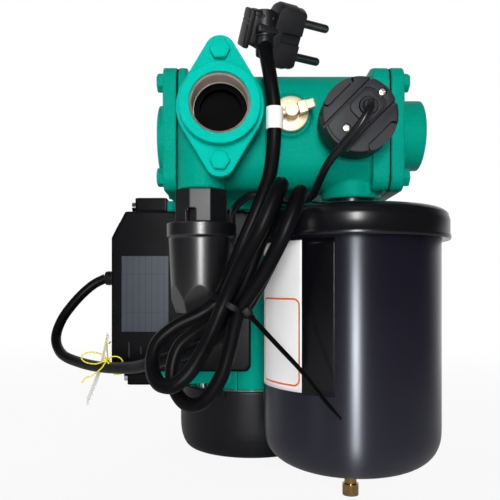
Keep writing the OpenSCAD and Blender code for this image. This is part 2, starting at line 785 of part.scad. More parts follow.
module left_end_cover() {
    color(green) difference() {
        union() {
            along_x(left_face_x - gasket_t - cover_t, left_face_x - gasket_t) flange_section();
            cyl_x(left_face_x - gasket_t - cover_t - left_boss_h, left_face_x - gasket_t - cover_t + 1,
                cover_boss_r, chamber_y, chamber_z);
        }
        cover_bolt_places(left_face_x - gasket_t - cover_t - 1, 1) cylinder(h = cover_t + 2, r = m6_r + 0.2);
    }
}
module chamber_gasket(x0, x1) {
    difference() {
        along_x(x0, x1) translate([chamber_y, chamber_z])
            round_rect(flange_size - 1, flange_size - 1, flange_round);
        along_x(x0 - 1, x1 + 1) chamber_section(cast_wall);
        cover_bolt_places(x0 - 1, 1) cylinder(h = x1 - x0 + 2, r = m6_r + 0.2);
    }
}
module end_gaskets() {
    color(black) {
        chamber_gasket(left_face_x - gasket_t, left_face_x);
        chamber_gasket(right_face_x, outlet_x0);
    }
}
module outlet_cover() {
    color(green) difference() {
        union() {
            along_x(outlet_x0, outlet_x0 + cover_t) flange_section();
            cyl_x(outlet_x0 + 1, outlet_x1, cover_boss_r, chamber_y, outlet_z);
        }
        cyl_x(outlet_x0 - 1, outlet_x1 + 1, port_r, chamber_y, outlet_z);
        cover_bolt_places(outlet_x0 - 1, 1) cylinder(h = cover_t + 2, r = m6_r + 0.2);
    }
}
module end_cover_bolts() {
    grip = cover_t + gasket_t + body_flange_t - 2;
    color(green) {
        cover_bolt_places(left_face_x - gasket_t - cover_t, 1)
            hex_bolt(m6_r - seat_gap, grip, m6_head_r, m6_head_h);
        cover_bolt_places(outlet_x0 + cover_t, -1)
            hex_bolt(m6_r - seat_gap, grip, m6_head_r, m6_head_h);
    }
}
module suction_flange() {
    color(green) difference() {
        union() {
            along_y(oval_front_y, oval_back_y) oval_section();
            cyl_y(oval_front_y - oval_ring_h, oval_front_y + 1, oval_ring_r, suction_x, suction_z);
        }
        cyl_y(oval_front_y - oval_ring_h - 1, oval_back_y + 1, port_r, suction_x, suction_z);
        for (s = [-1, 1]) cyl_y(oval_front_y - 1, oval_back_y + 1, m6_r + 0.2,
            suction_x, suction_z + s * oval_bolt_pitch / 2);
    }
}
module suction_gasket() {
    color(black) difference() {
        along_y(oval_back_y, seat_front_y) oval_section();
        cyl_y(oval_back_y - 1, seat_front_y + 1, port_r + 1, suction_x, suction_z);
        for (s = [-1, 1]) cyl_y(oval_back_y - 1, seat_front_y + 1, m6_r + 0.2,
            suction_x, suction_z + s * oval_bolt_pitch / 2);
    }
}
module suction_bolts() {
    color(green) for (s = [-1, 1])
        translate([suction_x, oval_front_y, suction_z + s * oval_bolt_pitch / 2]) rotate([-90, 30, 0])
            hex_bolt(m6_r - seat_gap, oval_t + gasket_t + seat_plate_t, m6_head_r, m6_head_h);
}
module valve_seat() {
    lug_w = 3;
    lug_gap = 3;
    color(black) difference() {
        union() {
            cyl_y(valve_seat_y, valve_seat_y + valve_seat_t, neck_bore_r - seat_gap, suction_x, suction_z);
            for (s = [-1, 1]) translate([suction_x + s * (lug_gap + lug_w / 2) - lug_w / 2,
                valve_seat_y + valve_seat_t - 1, flap_pin_z - 2.2]) cube([lug_w, flap_t + 3, 4.4]);
        }
        cyl_y(valve_seat_y - 1, valve_seat_y + valve_seat_t + 1, flap_r - 2.5, suction_x, suction_z);
        cyl_x(suction_x - 20, suction_x + 20, flap_pin_r + seat_gap, flap_pin_y, flap_pin_z);
        translate([suction_x - lug_gap, valve_seat_y + valve_seat_t - 1.5, flap_pin_z - 3]) cube([2 * lug_gap, 6, 6]);
    }
}
module valve_flap() {
    color(black) difference() {
        union() {
            cyl_y(flap_y, flap_y + flap_t, flap_r - 0.5, suction_x, suction_z);
            translate([suction_x - flap_arm_half, flap_y, suction_z])
                cube([2 * flap_arm_half, flap_t, flap_pin_z - suction_z]);
            cyl_x(suction_x - flap_arm_half, suction_x + flap_arm_half, flap_hub_r, flap_pin_y, flap_pin_z);
        }
        cyl_x(suction_x - 10, suction_x + 10, flap_pin_r + ball_gap, flap_pin_y, flap_pin_z);
        for (s = [-1, 1]) cyl_x(suction_x + s * (flap_arm_half + 3) - 3, suction_x + s * (flap_arm_half + 3) + 3,
            flap_lug_clear, flap_pin_y, flap_pin_z);
        translate([suction_x - 5, flap_y - 5, flap_pin_z - 4]) cube([10, 5, 8]);
    }
}
module valve_pin() {
    color(steel) cyl_x(suction_x - 6, suction_x + 6, flap_pin_r, flap_pin_y, flap_pin_z);
}

// Strainer
module at_strainer() {
    translate([strainer_x, strainer_y, 0]) children();
}
// Two opposite bayonet lugs' places
module lug_places(extra_turn) {
    for (a = [219, 39]) rotate(a + extra_turn) children();
}
module strainer_head() {
    socket_r = spigot_r + run_gap;
    lug_z0 = bowl_z1 + spigot_h - 5 - run_gap;
    flat_r = strainer_af / 2;
    slot_reach = flat_r * 2;
    slot_half = 1 + atan((lug_w / 2 + run_gap) / spigot_r);
    color(black) at_strainer() difference() {
        union() {
            translate([0, 0, strainer_head_z0]) rotate(22.5)
                cylinder(h = strainer_head_h, r = flat_r / cos(22.5), $fn = 8);
            cyl_z(strainer_z1 - eps, strainer_z1 + 12, strainer_bore_r - seat_gap);
        }
        cyl_z(strainer_head_z0 - 1, bowl_z1 + spigot_h + 1, socket_r);
        cyl_z(strainer_z1 - 10, strainer_z1 + 13, basket_r - 1);
        intersection() {
            cyl_z(lug_z0, lug_z0 + lug_h + 2 * run_gap, norm([lug_r, lug_w / 2]) + run_gap);
            lug_places(0) translate([0, 0, lug_z0 - 1]) linear_extrude(lug_h + 4) polygon([
                [0, 0], slot_reach * [cos(-slot_half), sin(-slot_half)],
                slot_reach * [cos(bayonet_turn / 2), sin(bayonet_turn / 2)],
                slot_reach * [cos(bayonet_turn + slot_half), sin(bayonet_turn + slot_half)]
            ]);
        }
        lug_places(bayonet_turn) translate([0, -lug_w / 2 - run_gap, strainer_head_z0 - 1])
            cube([flat_r + 3, lug_w + 2 * run_gap, lug_z0 - strainer_head_z0 + 2]);
    }
}
module strainer_bowl() {
    flat_n = 6;
    flat_lean = 17;
    flat_z = bowl_z0 + 18;
    rim_z = bowl_z1 - bowl_rim_h;
    color(black) at_strainer() difference() {
        union() {
            cyl_z(rim_z, bowl_z1, bowl_rim_r);
            difference() {
                translate([0, 0, bowl_z0]) cylinder(h = bowl_len, r1 = bowl_bottom_r, r2 = bowl_r);
                for (i = [0:flat_n - 1]) rotate(i * 360 / flat_n + 30) translate([bowl_r - 0.7, -30, flat_z])
                    rotate([0, flat_lean, 0]) translate([0, 0, -40]) cube([30, 60, 40]);
            }
            cyl_z(bowl_z1 - eps, bowl_z1 + spigot_h, spigot_r);
            lug_places(0) translate([spigot_r - 1, -lug_w / 2, bowl_z1 + spigot_h - 5])
                cube([lug_r - spigot_r + 1, lug_w, lug_h]);
        }
        cyl_z(bowl_z0 + bowl_wall + 8, rim_z, bowl_bottom_r - bowl_wall - 5);
        cyl_z(rim_z - eps, bowl_z1 + spigot_h + 1, basket_r + 1);
    }
}
module strainer_basket() {
    slot_n = 10;
    slot_w = 2.4;
    low = bowl_z0 + bowl_wall + 8;
    top = bowl_z1 + spigot_h - 1;
    color(steel) at_strainer() difference() {
        union() {
            cyl_z(low, top, basket_r);
            cyl_z(top - 2, top, basket_r + 1 - seat_gap);
        }
        cyl_z(low + 1, top + 1, basket_r - 0.8);
        for (i = [0:slot_n - 1]) rotate(i * 360 / slot_n)
            translate([basket_r - 2, -slot_w / 2, low + 5]) cube([4, slot_w, top - low - 22]);
    }
}

// Priming plug, modelled along -Y from its face
module priming_plug() {
    hub_y = priming_head_y - priming_head_t;
    tip_y = hub_y - priming_hub_h;
    bar_y = hub_y - priming_hub_h + priming_bar_r + 1.6;
    color(brass) {
        difference() {
            union() {
                cyl_y(priming_head_y - priming_head_t, priming_head_y, priming_head_r, priming_x, priming_z);
                cyl_y(priming_head_y - eps, priming_head_y + priming_thread_len, priming_thread_r,
                    priming_x, priming_z);
                cyl_y(tip_y, hub_y + eps, priming_hub_r, priming_x, priming_z);
                translate([priming_x, bar_y, priming_z]) rotate([0, -priming_bar_tilt, 0]) {
                    cyl_x(-priming_bar_half, priming_bar_half, priming_bar_r, 0, 0);
                    translate([4.2, -2.6, -3]) cube([4.5, 5.2, 6]);
                }
            }
            cyl_y(priming_head_y + 1, priming_head_y + priming_thread_len + 1, priming_thread_r - 2.5,
                priming_x, priming_z);
        }
    }
}
module priming_washer() {
    color(black) difference() {
        cyl_y(priming_head_y, priming_face_y, priming_head_r - 0.6, priming_x, priming_z);
        cyl_y(priming_head_y - 1, priming_face_y + 1, priming_thread_r + 0.3, priming_x, priming_z);
    }
}

// Pressure switch, its axis along Y, with its screws on the raised band's diagonal
module switch_screw_places() {
    for (reach = switch_screw_reaches) translate([switch_x, 0, switch_z]) rotate([0, -45, 0])
        translate([reach, 0, 0]) children();
}
module switch_base() {
    color(black) difference() {
        union() {
            cyl_y(switch_base_y - switch_floor_t, switch_base_y, switch_r - switch_wall - seat_gap,
                switch_x, switch_z);
            cyl_y(switch_base_y - 1, switch_base_y + 10, 6, switch_x, switch_z);
            switch_screw_places() cyl_y(switch_front_y + 6, switch_base_y, switch_screw_r + 0.7, 0, 0);
        }
        cyl_y(switch_base_y - switch_floor_t - 1, switch_base_y + 11, plunger_r + run_gap, switch_x, switch_z);
        switch_screw_places() cyl_y(switch_front_y, switch_base_y - 2, switch_screw_r, 0, 0);
    }
}
module switch_cap() {
    band_w = 19;
    front_t = 4;
    color(black) difference() {
        union() {
            cyl_y(switch_front_y + 1.5, switch_base_y, switch_r, switch_x, switch_z);
            intersection() {
                cyl_y(switch_front_y, switch_base_y, switch_r - 0.8, switch_x, switch_z);
                translate([switch_x, 0, switch_z]) rotate([0, -45, 0])
                    translate([-switch_r, switch_front_y, -band_w / 2]) cube([2 * switch_r, 6, band_w]);
            }
        }
        cyl_y(switch_front_y + front_t, switch_base_y + 1, switch_r - switch_wall, switch_x, switch_z);
        cyl_y(switch_front_y - 1, switch_front_y + 8, grommet_r, grommet_x, grommet_z);
        switch_screw_places() {
            cyl_y(switch_front_y - 1, switch_front_y + 8, switch_screw_r + 0.1, 0, 0);
            cyl_y(switch_front_y - 1, switch_front_y + 1.5, switch_screw_head_r + 0.2, 0, 0);
        }
    }
}
module switch_screws() {
    color(steel) switch_screw_places() translate([0, switch_front_y + 1.5, 0]) rotate([-90, 0, 0])
        cross_screw(switch_screw_r - seat_gap, 9, switch_screw_head_r, 1.4);
}
module switch_grommet() {
    color(black) {
        cyl_y(switch_front_y - 1.5, switch_front_y + 4, grommet_r - seat_gap, grommet_x, grommet_z);
        cyl_y(switch_front_y - 8.5, switch_front_y - 1.5 + eps, switch_lead_d / 2 + 1.2, grommet_x, grommet_z);
    }
}
module switch_plunger() {
    y1 = switch_base_y + 9;
    color("white") union() {
        cyl_y(switch_base_y - plunger_len, y1, plunger_r, switch_x, switch_z);
        cyl_y(switch_base_y - switch_floor_t - plunger_travel - 3.5,
            switch_base_y - switch_floor_t - plunger_travel - 0.5, plunger_r + 3, switch_x, switch_z);
    }
}
module switch_lead() {
    color(black) swept_tube(switch_lead_route, switch_lead_d, switch_lead_rings, cord_sides);
}

// Pressure tank
module at_tank() {
    translate([tank_x, tank_y, 0]) children();
}
module tank_nipple() {
    color(black) at_tank() difference() {
        union() {
            cyl_z(lid_z1, tank_boss_z, nipple_flange_r);
            cyl_z(lid_z1 - nipple_low, tank_boss_z + nipple_hold, nipple_r);
        }
        cyl_z(lid_z1 - nipple_low - 1, tank_boss_z + nipple_hold + 1, nipple_bore_r);
    }
}
module tank_lid() {
    n = 6;
    color(black) at_tank() rotate_extrude() polygon(concat(
        [[nipple_r + seat_gap, lid_z1], [nipple_r + seat_gap, lid_z1 - tank_wall]],
        [for (i = [0:n]) let (a = 90 - 90 * i / n) [
            lid_r - lid_round + (lid_round - tank_wall) * cos(a),
            lid_z1 - lid_round + (lid_round - tank_wall) * sin(a)]],
        [[lid_r - tank_wall, lid_z0 + 2.5], [tank_r + 0.1, lid_z0 + 2.5], [tank_r + 0.1, lid_z0],
            [lid_r, lid_z0]],
        [for (i = [0:n]) let (a = 90 * i / n) [
            lid_r - lid_round + lid_round * cos(a),
            lid_z1 - lid_round + lid_round * sin(a)]]
    ));
}
// Curve of the tank's domed bottom, from its side to its pole
function dome(r, z0, h, n) = [for (i = [0:n]) let (a = 90 * i / n) [
    r * pow(cos(a), 0.55), z0 + h * (1 - pow(sin(a), 0.8))]];
module tank_shell() {
    top = lid_z1 - lid_round - 1;
    inner = tank_r - tank_wall;
    color(dark_tank) at_tank() difference() {
        rotate_extrude() polygon(concat(
            [[inner, top], [tank_r, top]],
            dome(tank_r, tank_z0, tank_dome_h, 12),
            [for (i = [12:-1:0]) dome(inner, tank_z0 + tank_wall, tank_dome_h, 12)[i]]
        ));
        cyl_z(tank_z0 - 1, tank_z0 + tank_wall + 1, stem_r + seat_gap);
    }
}
module tank_diaphragm() {
    depth = 60;
    rim = tank_r - tank_wall - 0.3;
    top = lid_z0 + 5;
    color("dimgray") at_tank() rotate_extrude() polygon(concat(
        [[rim - diaphragm_t, top], [rim, top]],
        dome(rim, top - depth, depth - 8, 8),
        [for (i = [8:-1:0]) dome(rim - diaphragm_t, top - depth + diaphragm_t, depth - 8, 8)[i]]
    ));
}
module gas_valve() {
    color(brass) at_tank() {
        cyl_z(tank_z0 - valve_washer_h, tank_z0, valve_washer_r);
        cyl_z(tank_z0 - stem_len, tank_z0 + tank_wall + 8, stem_r);
        cyl_z(tank_z0 - stem_len - 4, tank_z0 - stem_len + eps, stem_r - 0.8);
    }
}
module gas_valve_cap() {
    knurls = 24;
    cap_z1 = tank_z0 - stem_len;
    color(brass) at_tank() difference() {
        cyl_z(cap_z1 - valve_cap_h, cap_z1, valve_cap_r);
        cyl_z(cap_z1 - 5, cap_z1 + 1, stem_r - 0.8 + seat_gap);
        for (i = [0:knurls - 1]) rotate(i * 360 / knurls)
            translate([valve_cap_r + 0.25, 0, cap_z1 - valve_cap_h + 1.2]) cylinder(h = valve_cap_h - 2.4, r = 0.5, $fn = 16);
    }
}

// Terminal box and mains lead
module terminal_box() {
    right = -0.6;
    w = box_wall;
    color(black) difference() {
        union() {
            along_y(-box_d / 2, box_d / 2) polygon([
                [box_x0, box_z0], [right - box_right_chamfer, box_z0], [right, box_z0 + box_right_chamfer],
                [right, box_z1], [box_x0 + box_chamfer_x, box_z1], [box_x0, box_z1 - box_chamfer_z]
            ]);
            for (s = [-1, 1]) {
                translate([box_lug_x0, s * box_lug_y - box_lug_w / 2, box_z1 - eps])
                    cube([box_lug_x1 - box_lug_x0, box_lug_w, box_lug_h]);
                translate([low_lug_x0, s * box_lug_y - box_lug_w / 2, box_z0 - box_lug_h])
                    cube([low_lug_x1 - low_lug_x0, box_lug_w, box_lug_h + eps]);
            }
        }
        along_y(-box_d / 2 + w, box_d / 2 - w) polygon([
            [box_x0 + w, box_z0 + w], [20, box_z0 + w], [20, box_z1 - w],
            [box_x0 + box_chamfer_x + 0.6 * w, box_z1 - w], [box_x0 + w, box_z1 - box_chamfer_z - 0.4 * w]
        ]);
        cyl_z(box_z0 - 1, box_z1 + 1, saddle_r);
        cyl_z(box_z1 - w - 1, box_z1 + 1, casing_flange_r + 0.5);
        box_screw_places() {
            cylinder(h = -box_lug_x0, r = box_screw_r + screw_play);
            translate([0, 0, -box_screw_head_h - box_lug_h])
                cylinder(h = box_screw_head_h + box_lug_h, r = box_screw_head_r + screw_play);
        }
        cyl_x(box_x0 - 1, box_x0 + w + 1, cord_d / 2 + 1, gland_y, gland_z);
        cyl_y(-box_d / 2 - 1, -box_d / 2 + w + 1, lead_grommet_r - 1, lead_grommet_x, lead_grommet_z);
    }
}
// Screw places at the lugs' outer ends: +Z runs into the motor
module box_screw_places() {
    for (s = [-1, 1]) {
        translate([box_lug_x0, s * box_lug_y, top_ear_z]) rotate([0, 90, 0]) children();
        translate([low_lug_x0, s * box_lug_y, low_ear_z]) rotate([0, 90, 0]) children();
    }
}
module box_screws() {
    grip = min(box_lug_x1 - box_lug_x0, low_lug_x1 - low_lug_x0) + box_screw_hold;
    color(steel) box_screw_places() cross_screw(box_screw_r, grip, box_screw_head_r, box_screw_head_h);
}
module capacitor() {
    color(grey) translate([box_x0 + box_wall + capacitor_r, capacitor_y, box_z0 + box_wall]) {
        cylinder(h = capacitor_h, r = capacitor_r);
        for (s = [-1, 1]) translate([s * 6 - 0.5, -3, capacitor_h - eps]) cube([1, 6, 9]);
    }
}
module terminal_block() {
    ways = 4;
    color("ivory") translate([box_x0 + box_wall, -box_d / 2 + block_inset, box_z0 + box_wall + block_rise]) difference() {
        cube([block_w, block_d, block_h]);
        for (i = [0:ways - 1]) translate([block_w / 2, -1, (i + 0.5) * block_h / ways])
            rotate([-90, 0, 0]) cylinder(h = block_d + 2, r = 2.5);
    }
}
module cord_gland() {
    color(black) {
        cyl_x(box_x0 - gland_flange_t, box_x0, gland_r, gland_y, gland_z);
        translate([box_x0 - gland_len, gland_y, gland_z]) rotate([0, 90, 0])
            cylinder(h = gland_len - gland_flange_t + eps, r1 = cord_d / 2 + 1, r2 = gland_r - 1.5);
        cyl_x(box_x0 - eps, box_x0 + box_wall + 2, cord_d / 2 + 1 - seat_gap, gland_y, gland_z);
        cyl_y(-box_d / 2 - 7, -box_d / 2, lead_grommet_r, lead_grommet_x, lead_grommet_z);
        cyl_y(-box_d / 2 - eps, -box_d / 2 + box_wall + 1, lead_grommet_r - 1 - seat_gap,
            lead_grommet_x, lead_grommet_z);
    }
}
module power_cord() {
    color(black) swept_tube(cord_route, cord_d, cord_rings, cord_sides);
}
module cord_sleeve() {
    color("white") ring_z(sleeve_z0, sleeve_z1, cord_d / 2, cord_d / 2 + sleeve_wall, sleeve_x, sleeve_y);
}
module at_plug() {
    translate(plug_face) rotate([plug_roll, plug_dip, plug_yaw]) children();
}
module cord_plug() {
    back = -plug_body_t - plug_waist_t;
    color(black) {
        difference() {
            at_plug() {
                intersection() {
                    cyl_x(-plug_body_t, 0, plug_r, 0, 0);
                    translate([-plug_body_t - 1, -plug_flat, -plug_r - 1])
                        cube([plug_body_t + 2, 2 * plug_flat, 2 * plug_r + 2]);
                }
                translate([back - eps, -7, -9]) cube([plug_waist_t + 2 * eps, 14, 18]);
                translate([back - plug_grip_t, -7.5, -11]) cube([plug_grip_t, 15, 22]);
            }
            at_plug() for (s = [-1, 1]) cyl_x(-9, 1, pin_r + seat_gap, 0, s * pin_pitch / 2);
        }
        cyl_z(plug_exit[2], plug_exit[2] + 15, cord_d / 2 + 3, plug_exit[0], plug_exit[1]);
    }
}
module plug_pins() {
    color(steel) at_plug() for (s = [-1, 1]) {
        cyl_x(-8, pin_len - pin_r, pin_r, 0, s * pin_pitch / 2);
        translate([pin_len - pin_r, 0, s * pin_pitch / 2]) sphere(pin_r);
    }
}
module cable_tie() {
    color(black) {
        translate(tie_centre) rotate([0, tie_tilt, 0])
            ring_z(-band_w / 2, band_w / 2, band_r, band_r + band_t);
        translate(tail_route[0]) rotate([0, tail_dip, 0])
            cube([tie_head, 4, tie_head], center = true);
        for (i = [0:len(tail_route) - 2]) hull() for (k = [i, i + 1])
            translate(tail_route[k]) rotate([0, tail_dip, 0]) cube([0.5, band_t, band_w], center = true);
    }
}
module hang_tag() {
    color("white") translate(tag_centre) rotate([0, tag_tilt, 0]) cube([tag_t, tag_w, tag_h], center = true);
}

fan_cover();
fan_cover_screws();
cooling_fan();
lower_end_shield();
motor_frame();
motor_tie_bolts();
stator_core();
stator_windings();
rotor_core();
motor_shaft();
bearing_outer_rings();
bearing_inner_rings();
bearing_balls();
motor_bracket();
casing_gasket();
casing_bolts();
seal_seat();
seal_ring();
seal_bellows();
impeller();
impeller_nut();
pump_body();
left_end_cover();
outlet_cover();
end_gaskets();
end_cover_bolts();
suction_flange();
suction_gasket();
suction_bolts();
valve_seat();
valve_flap();
valve_pin();
strainer_head();
strainer_bowl();
strainer_basket();
priming_plug();
priming_washer();
switch_base();
switch_cap();
switch_screws();
switch_grommet();
switch_plunger();
switch_lead();
tank_nipple();
tank_lid();
tank_shell();
tank_diaphragm();
gas_valve();
gas_valve_cap();
terminal_box();
box_screws();
capacitor();
terminal_block();
cord_gland();
power_cord();
cord_sleeve();
cord_plug();
plug_pins();
cable_tie();
hang_tag();
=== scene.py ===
import json
import math
import bpy
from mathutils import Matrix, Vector

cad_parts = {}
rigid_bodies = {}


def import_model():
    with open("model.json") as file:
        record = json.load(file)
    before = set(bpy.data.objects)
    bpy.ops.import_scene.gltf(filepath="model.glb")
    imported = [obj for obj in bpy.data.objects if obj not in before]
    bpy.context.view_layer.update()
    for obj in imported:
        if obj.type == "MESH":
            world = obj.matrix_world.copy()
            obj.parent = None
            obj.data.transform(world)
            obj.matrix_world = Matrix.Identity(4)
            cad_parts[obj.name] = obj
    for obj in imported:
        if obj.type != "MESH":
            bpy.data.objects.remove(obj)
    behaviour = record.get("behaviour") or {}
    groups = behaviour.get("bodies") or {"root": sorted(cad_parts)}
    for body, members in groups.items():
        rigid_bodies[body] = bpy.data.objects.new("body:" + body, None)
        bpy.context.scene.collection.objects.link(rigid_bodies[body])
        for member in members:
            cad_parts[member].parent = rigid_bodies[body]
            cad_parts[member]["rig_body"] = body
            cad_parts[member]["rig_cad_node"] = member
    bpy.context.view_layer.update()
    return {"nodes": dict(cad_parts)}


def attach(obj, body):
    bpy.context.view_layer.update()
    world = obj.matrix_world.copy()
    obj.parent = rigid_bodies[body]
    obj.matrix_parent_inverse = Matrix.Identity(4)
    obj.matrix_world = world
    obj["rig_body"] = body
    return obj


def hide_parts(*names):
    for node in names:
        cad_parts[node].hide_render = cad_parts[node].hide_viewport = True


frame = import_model()
scene = bpy.context.scene
mm = 0.001
print("stage: frame loaded")


# small helpers for working as by hand

def setMode(mode):
    bpy.ops.object.mode_set(mode=mode)


def pickAll(action):
    bpy.ops.mesh.select_all(action=action)


def deselectAll():
    if bpy.context.object and bpy.context.object.mode != "OBJECT":
        setMode("OBJECT")
    bpy.ops.object.select_all(action="DESELECT")


def takeUp(obj):
    deselectAll()
    obj.select_set(True)
    bpy.context.view_layer.objects.active = obj


def settle(obj):
    takeUp(obj)
    bpy.ops.object.transform_apply(location=True, rotation=True, scale=True)


def inMetres(place):
    return [value * mm for value in place]


# gives a piece its turn in degrees and its place in millimetres
def placed(obj, place=(0, 0, 0), turn=(0, 0, 0)):
    obj.rotation_euler = [math.radians(value) for value in turn]
    obj.location = inMetres(place)
    settle(obj)
    return obj


def added(operator, **values):
    deselectAll()
    operator(**values)
    return bpy.context.object


def applied(obj, kind, **values):
    takeUp(obj)
    modifier = obj.modifiers.new(kind.lower(), kind)
    for key, value in values.items():
        setattr(modifier, key, value)
    bpy.ops.object.modifier_apply(modifier=modifier.name)


def bevelled(obj, width, steps=3, degrees=30):
    applied(obj, "BEVEL", width=width * mm, segments=steps, limit_method="ANGLE", angle_limit=math.radians(degrees))


def joined(pieces):
    deselectAll()
    for piece in pieces:
        piece.select_set(True)
    bpy.context.view_layer.objects.active = pieces[0]
    bpy.ops.object.join()
    return pieces[0]


def faceOutwards(obj, mergeDistance=0.00001):
    takeUp(obj)
    setMode("EDIT")
    pickAll("SELECT")
    bpy.ops.mesh.remove_doubles(threshold=mergeDistance)
    bpy.ops.mesh.normals_make_consistent(inside=False)
    setMode("OBJECT")
    return obj


def smoothed(obj, degrees=30):
    takeUp(obj)
    bpy.ops.object.shade_smooth_by_angle(angle=math.radians(degrees))
    return obj


def dressed(obj, name, finishName, slotName, nodes=(), body="pump"):
    obj.name = name
    obj.data.name = name
    obj.data.materials.clear()
    obj.data.materials.append(finish[finishName])
    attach(obj, body)
    if nodes:
        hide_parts(*nodes)
    return obj


# a round piece grown ring by ring along Z, then turned to its axis
axisTurns = {"Z": (0, 0, 0), "Y": (90, 0, 0), "X": (0, 90, 0)}


def grown(profile, place=(0, 0, 0), axis="Z", sides=64, closed=True):
    radius, height = profile[0]
    obj = added(bpy.ops.mesh.primitive_circle_add, vertices=sides, radius=radius * mm, fill_type="NOTHING",
                location=(0, 0, height * mm))
    settle(obj)
    setMode("EDIT")
    pickAll("SELECT")
    if closed:
        bpy.ops.mesh.edge_face_add()
        bpy.ops.mesh.select_mode(type="EDGE")
    for nextRadius, nextHeight in profile[1:]:
        bpy.ops.mesh.extrude_edges_move(TRANSFORM_OT_translate={"value": (0, 0, (nextHeight - height) * mm)})
        share = nextRadius / radius
        bpy.ops.transform.resize(value=(share, share, 1), center_override=(0, 0, nextHeight * mm))
        radius, height = nextRadius, nextHeight
    if closed:
        bpy.ops.mesh.edge_face_add()
    setMode("OBJECT")
    return faceOutwards(placed(obj, place, axisTurns[axis]))


# a soft-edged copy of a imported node, as a casting or moulding with its radii
def softCopy(node, grain, passes, kept, mergeDistance=0.000005):
    twin = frame["nodes"][node].copy()
    twin.data = twin.data.copy()
    twin.parent = None
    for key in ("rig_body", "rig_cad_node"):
        twin.pop(key, None)
    scene.collection.objects.link(twin)
    faceOutwards(twin, mergeDistance)
    applied(twin, "REMESH", mode="VOXEL", voxel_size=grain * mm)
    applied(twin, "SMOOTH", factor=0.5, iterations=passes)
    applied(twin, "DECIMATE", ratio=kept)
    takeUp(twin)
    bpy.ops.object.shade_smooth()
    return twin


def plainBlock(size):
    obj = added(bpy.ops.mesh.primitive_cube_add, size=1)
    obj.scale = inMetres(size)
    settle(obj)
    return obj


# a block with rounded edges, of full size and about its centre
def roundBlock(size, place=(0, 0, 0), rounding=0.6, steps=3, turn=(0, 0, 0)):
    obj = plainBlock(size)
    bevelled(obj, rounding, steps)
    return placed(obj, place, turn)


# a flat block with rounded corners in plan and softened rims
def roundedSlab(size, place, corner, rim, turn):
    obj = plainBlock(size)
    setMode("EDIT")
    bpy.ops.mesh.select_mode(type="EDGE")
    pickAll("DESELECT")
    setMode("OBJECT")
    for edge in obj.data.edges:
        ends = [obj.data.vertices[index].co.z for index in edge.vertices]
        edge.select = abs(ends[0] - ends[1]) > 0.5 * size[2] * mm
    setMode("EDIT")
    bpy.ops.mesh.bevel(offset=corner * mm, segments=8)
    setMode("OBJECT")
    if rim:
        bevelled(obj, rim, degrees=50)
    return placed(obj, place, (0, 0, turn))


def pickFaces(obj, wanted):
    takeUp(obj)
    setMode("EDIT")
    bpy.ops.mesh.select_mode(type="FACE")
    pickAll("DESELECT")
    setMode("OBJECT")
    for face in obj.data.polygons:
        face.select = wanted(face)
    setMode("EDIT")


# takes away what lies beyond a plane and closes the cut
def sliced(obj, place, outwards):
    takeUp(obj)
    setMode("EDIT")
    pickAll("SELECT")
    bpy.ops.mesh.bisect(plane_co=inMetres(place), plane_no=outwards, use_fill=True, clear_outer=True)
    setMode("OBJECT")


def carved(obj, cutter):
    applied(obj, "BOOLEAN", operation="DIFFERENCE", solver="EXACT", object=cutter)
    bpy.data.objects.remove(cutter)


# turns a piece made facing up to face the front, in its place
def facedFront(obj, place, roll=0):
    placed(obj, turn=(0, 0, roll))
    return placed(obj, place, axisTurns["Y"])


# camera at the photograph's place: level, looking along +Y
cameraPlace = {
    "location": (-0.005, -0.520, 0.1313), "focalPixels": 620, "vanishing": (245, 285), "picture": 500,
    "sensor": 36, "nearest": 0.01,
}


def makeCamera(place):
    camera = added(bpy.ops.object.camera_add, location=place["location"], rotation=(math.pi / 2, 0, 0))
    camera.name = "photoCamera"
    camera.data.sensor_width = place["sensor"]
    camera.data.lens = place["sensor"] * place["focalPixels"] / place["picture"]
    camera.data.shift_x = 0.5 - place["vanishing"][0] / place["picture"]
    camera.data.shift_y = place["vanishing"][1] / place["picture"] - 0.5
    camera.data.clip_start = place["nearest"]
    scene.camera = camera


makeCamera(cameraPlace)
print("stage: camera placed")


# routes of the two leads, the same points as in the part, in millimetres
mainsLead = {
    "diameter": 8,
    "route": [
        (-123, 5, 137), (-134, 4, 131), (-146, 0, 119), (-156, -8, 103), (-158, -18, 88),
        (-149, -32, 77), (-130, -52, 73), (-106, -80, 73), (-80, -112, 77), (-60, -138, 84),
        (-38, -156, 92), (-20, -168, 102), (-6, -181, 117), (6, -182, 138), (15, -181, 158),
        (22, -185, 175), (24, -194, 180), (22, -203, 175), (15, -207, 158), (5, -200, 138),
        (-8, -193, 117), (-13, -190, 98), (-18, -189, 82), (-26, -187, 70), (-34, -183, 66),
        (-41, -178, 69), (-46, -173, 80), (-43, -170, 95), (-34, -170, 104), (-24, -172, 111),
        (-11, -175, 121), (-3, -178, 138), (5, -180, 160), (12, -185, 178), (14, -195, 184),
        (11, -205, 178), (3, -208, 160), (-8, -199, 140), (-16, -194, 122), (-22, -197, 107),
        (-28, -202, 95), (-34, -205, 86), (-42, -205, 80), (-50, -200, 81), (-54, -192, 89),
        (-52, -187, 100), (-42, -184, 109), (-28, -182, 116), (-19, -181, 124), (-12, -171, 140),
        (-5, -166, 158), (3, -166, 177), (9, -171, 194), (11, -177, 212), (11, -179, 228),
        (9, -177, 246), (7, -171, 260), (6, -166, 271)],
}
switchLead = {
    "diameter": 4.5,
    "route": [
        (62, -193, 228), (60, -197, 223), (55, -197, 215), (47, -191, 206), (40, -183, 197),
        (36, -171, 188), (33, -161, 182), (22, -154, 181), (8, -151, 184), (-2, -149, 185),
        (-12, -139, 177), (-13, -122, 166), (-17, -95, 160), (-20, -72, 158)],
}


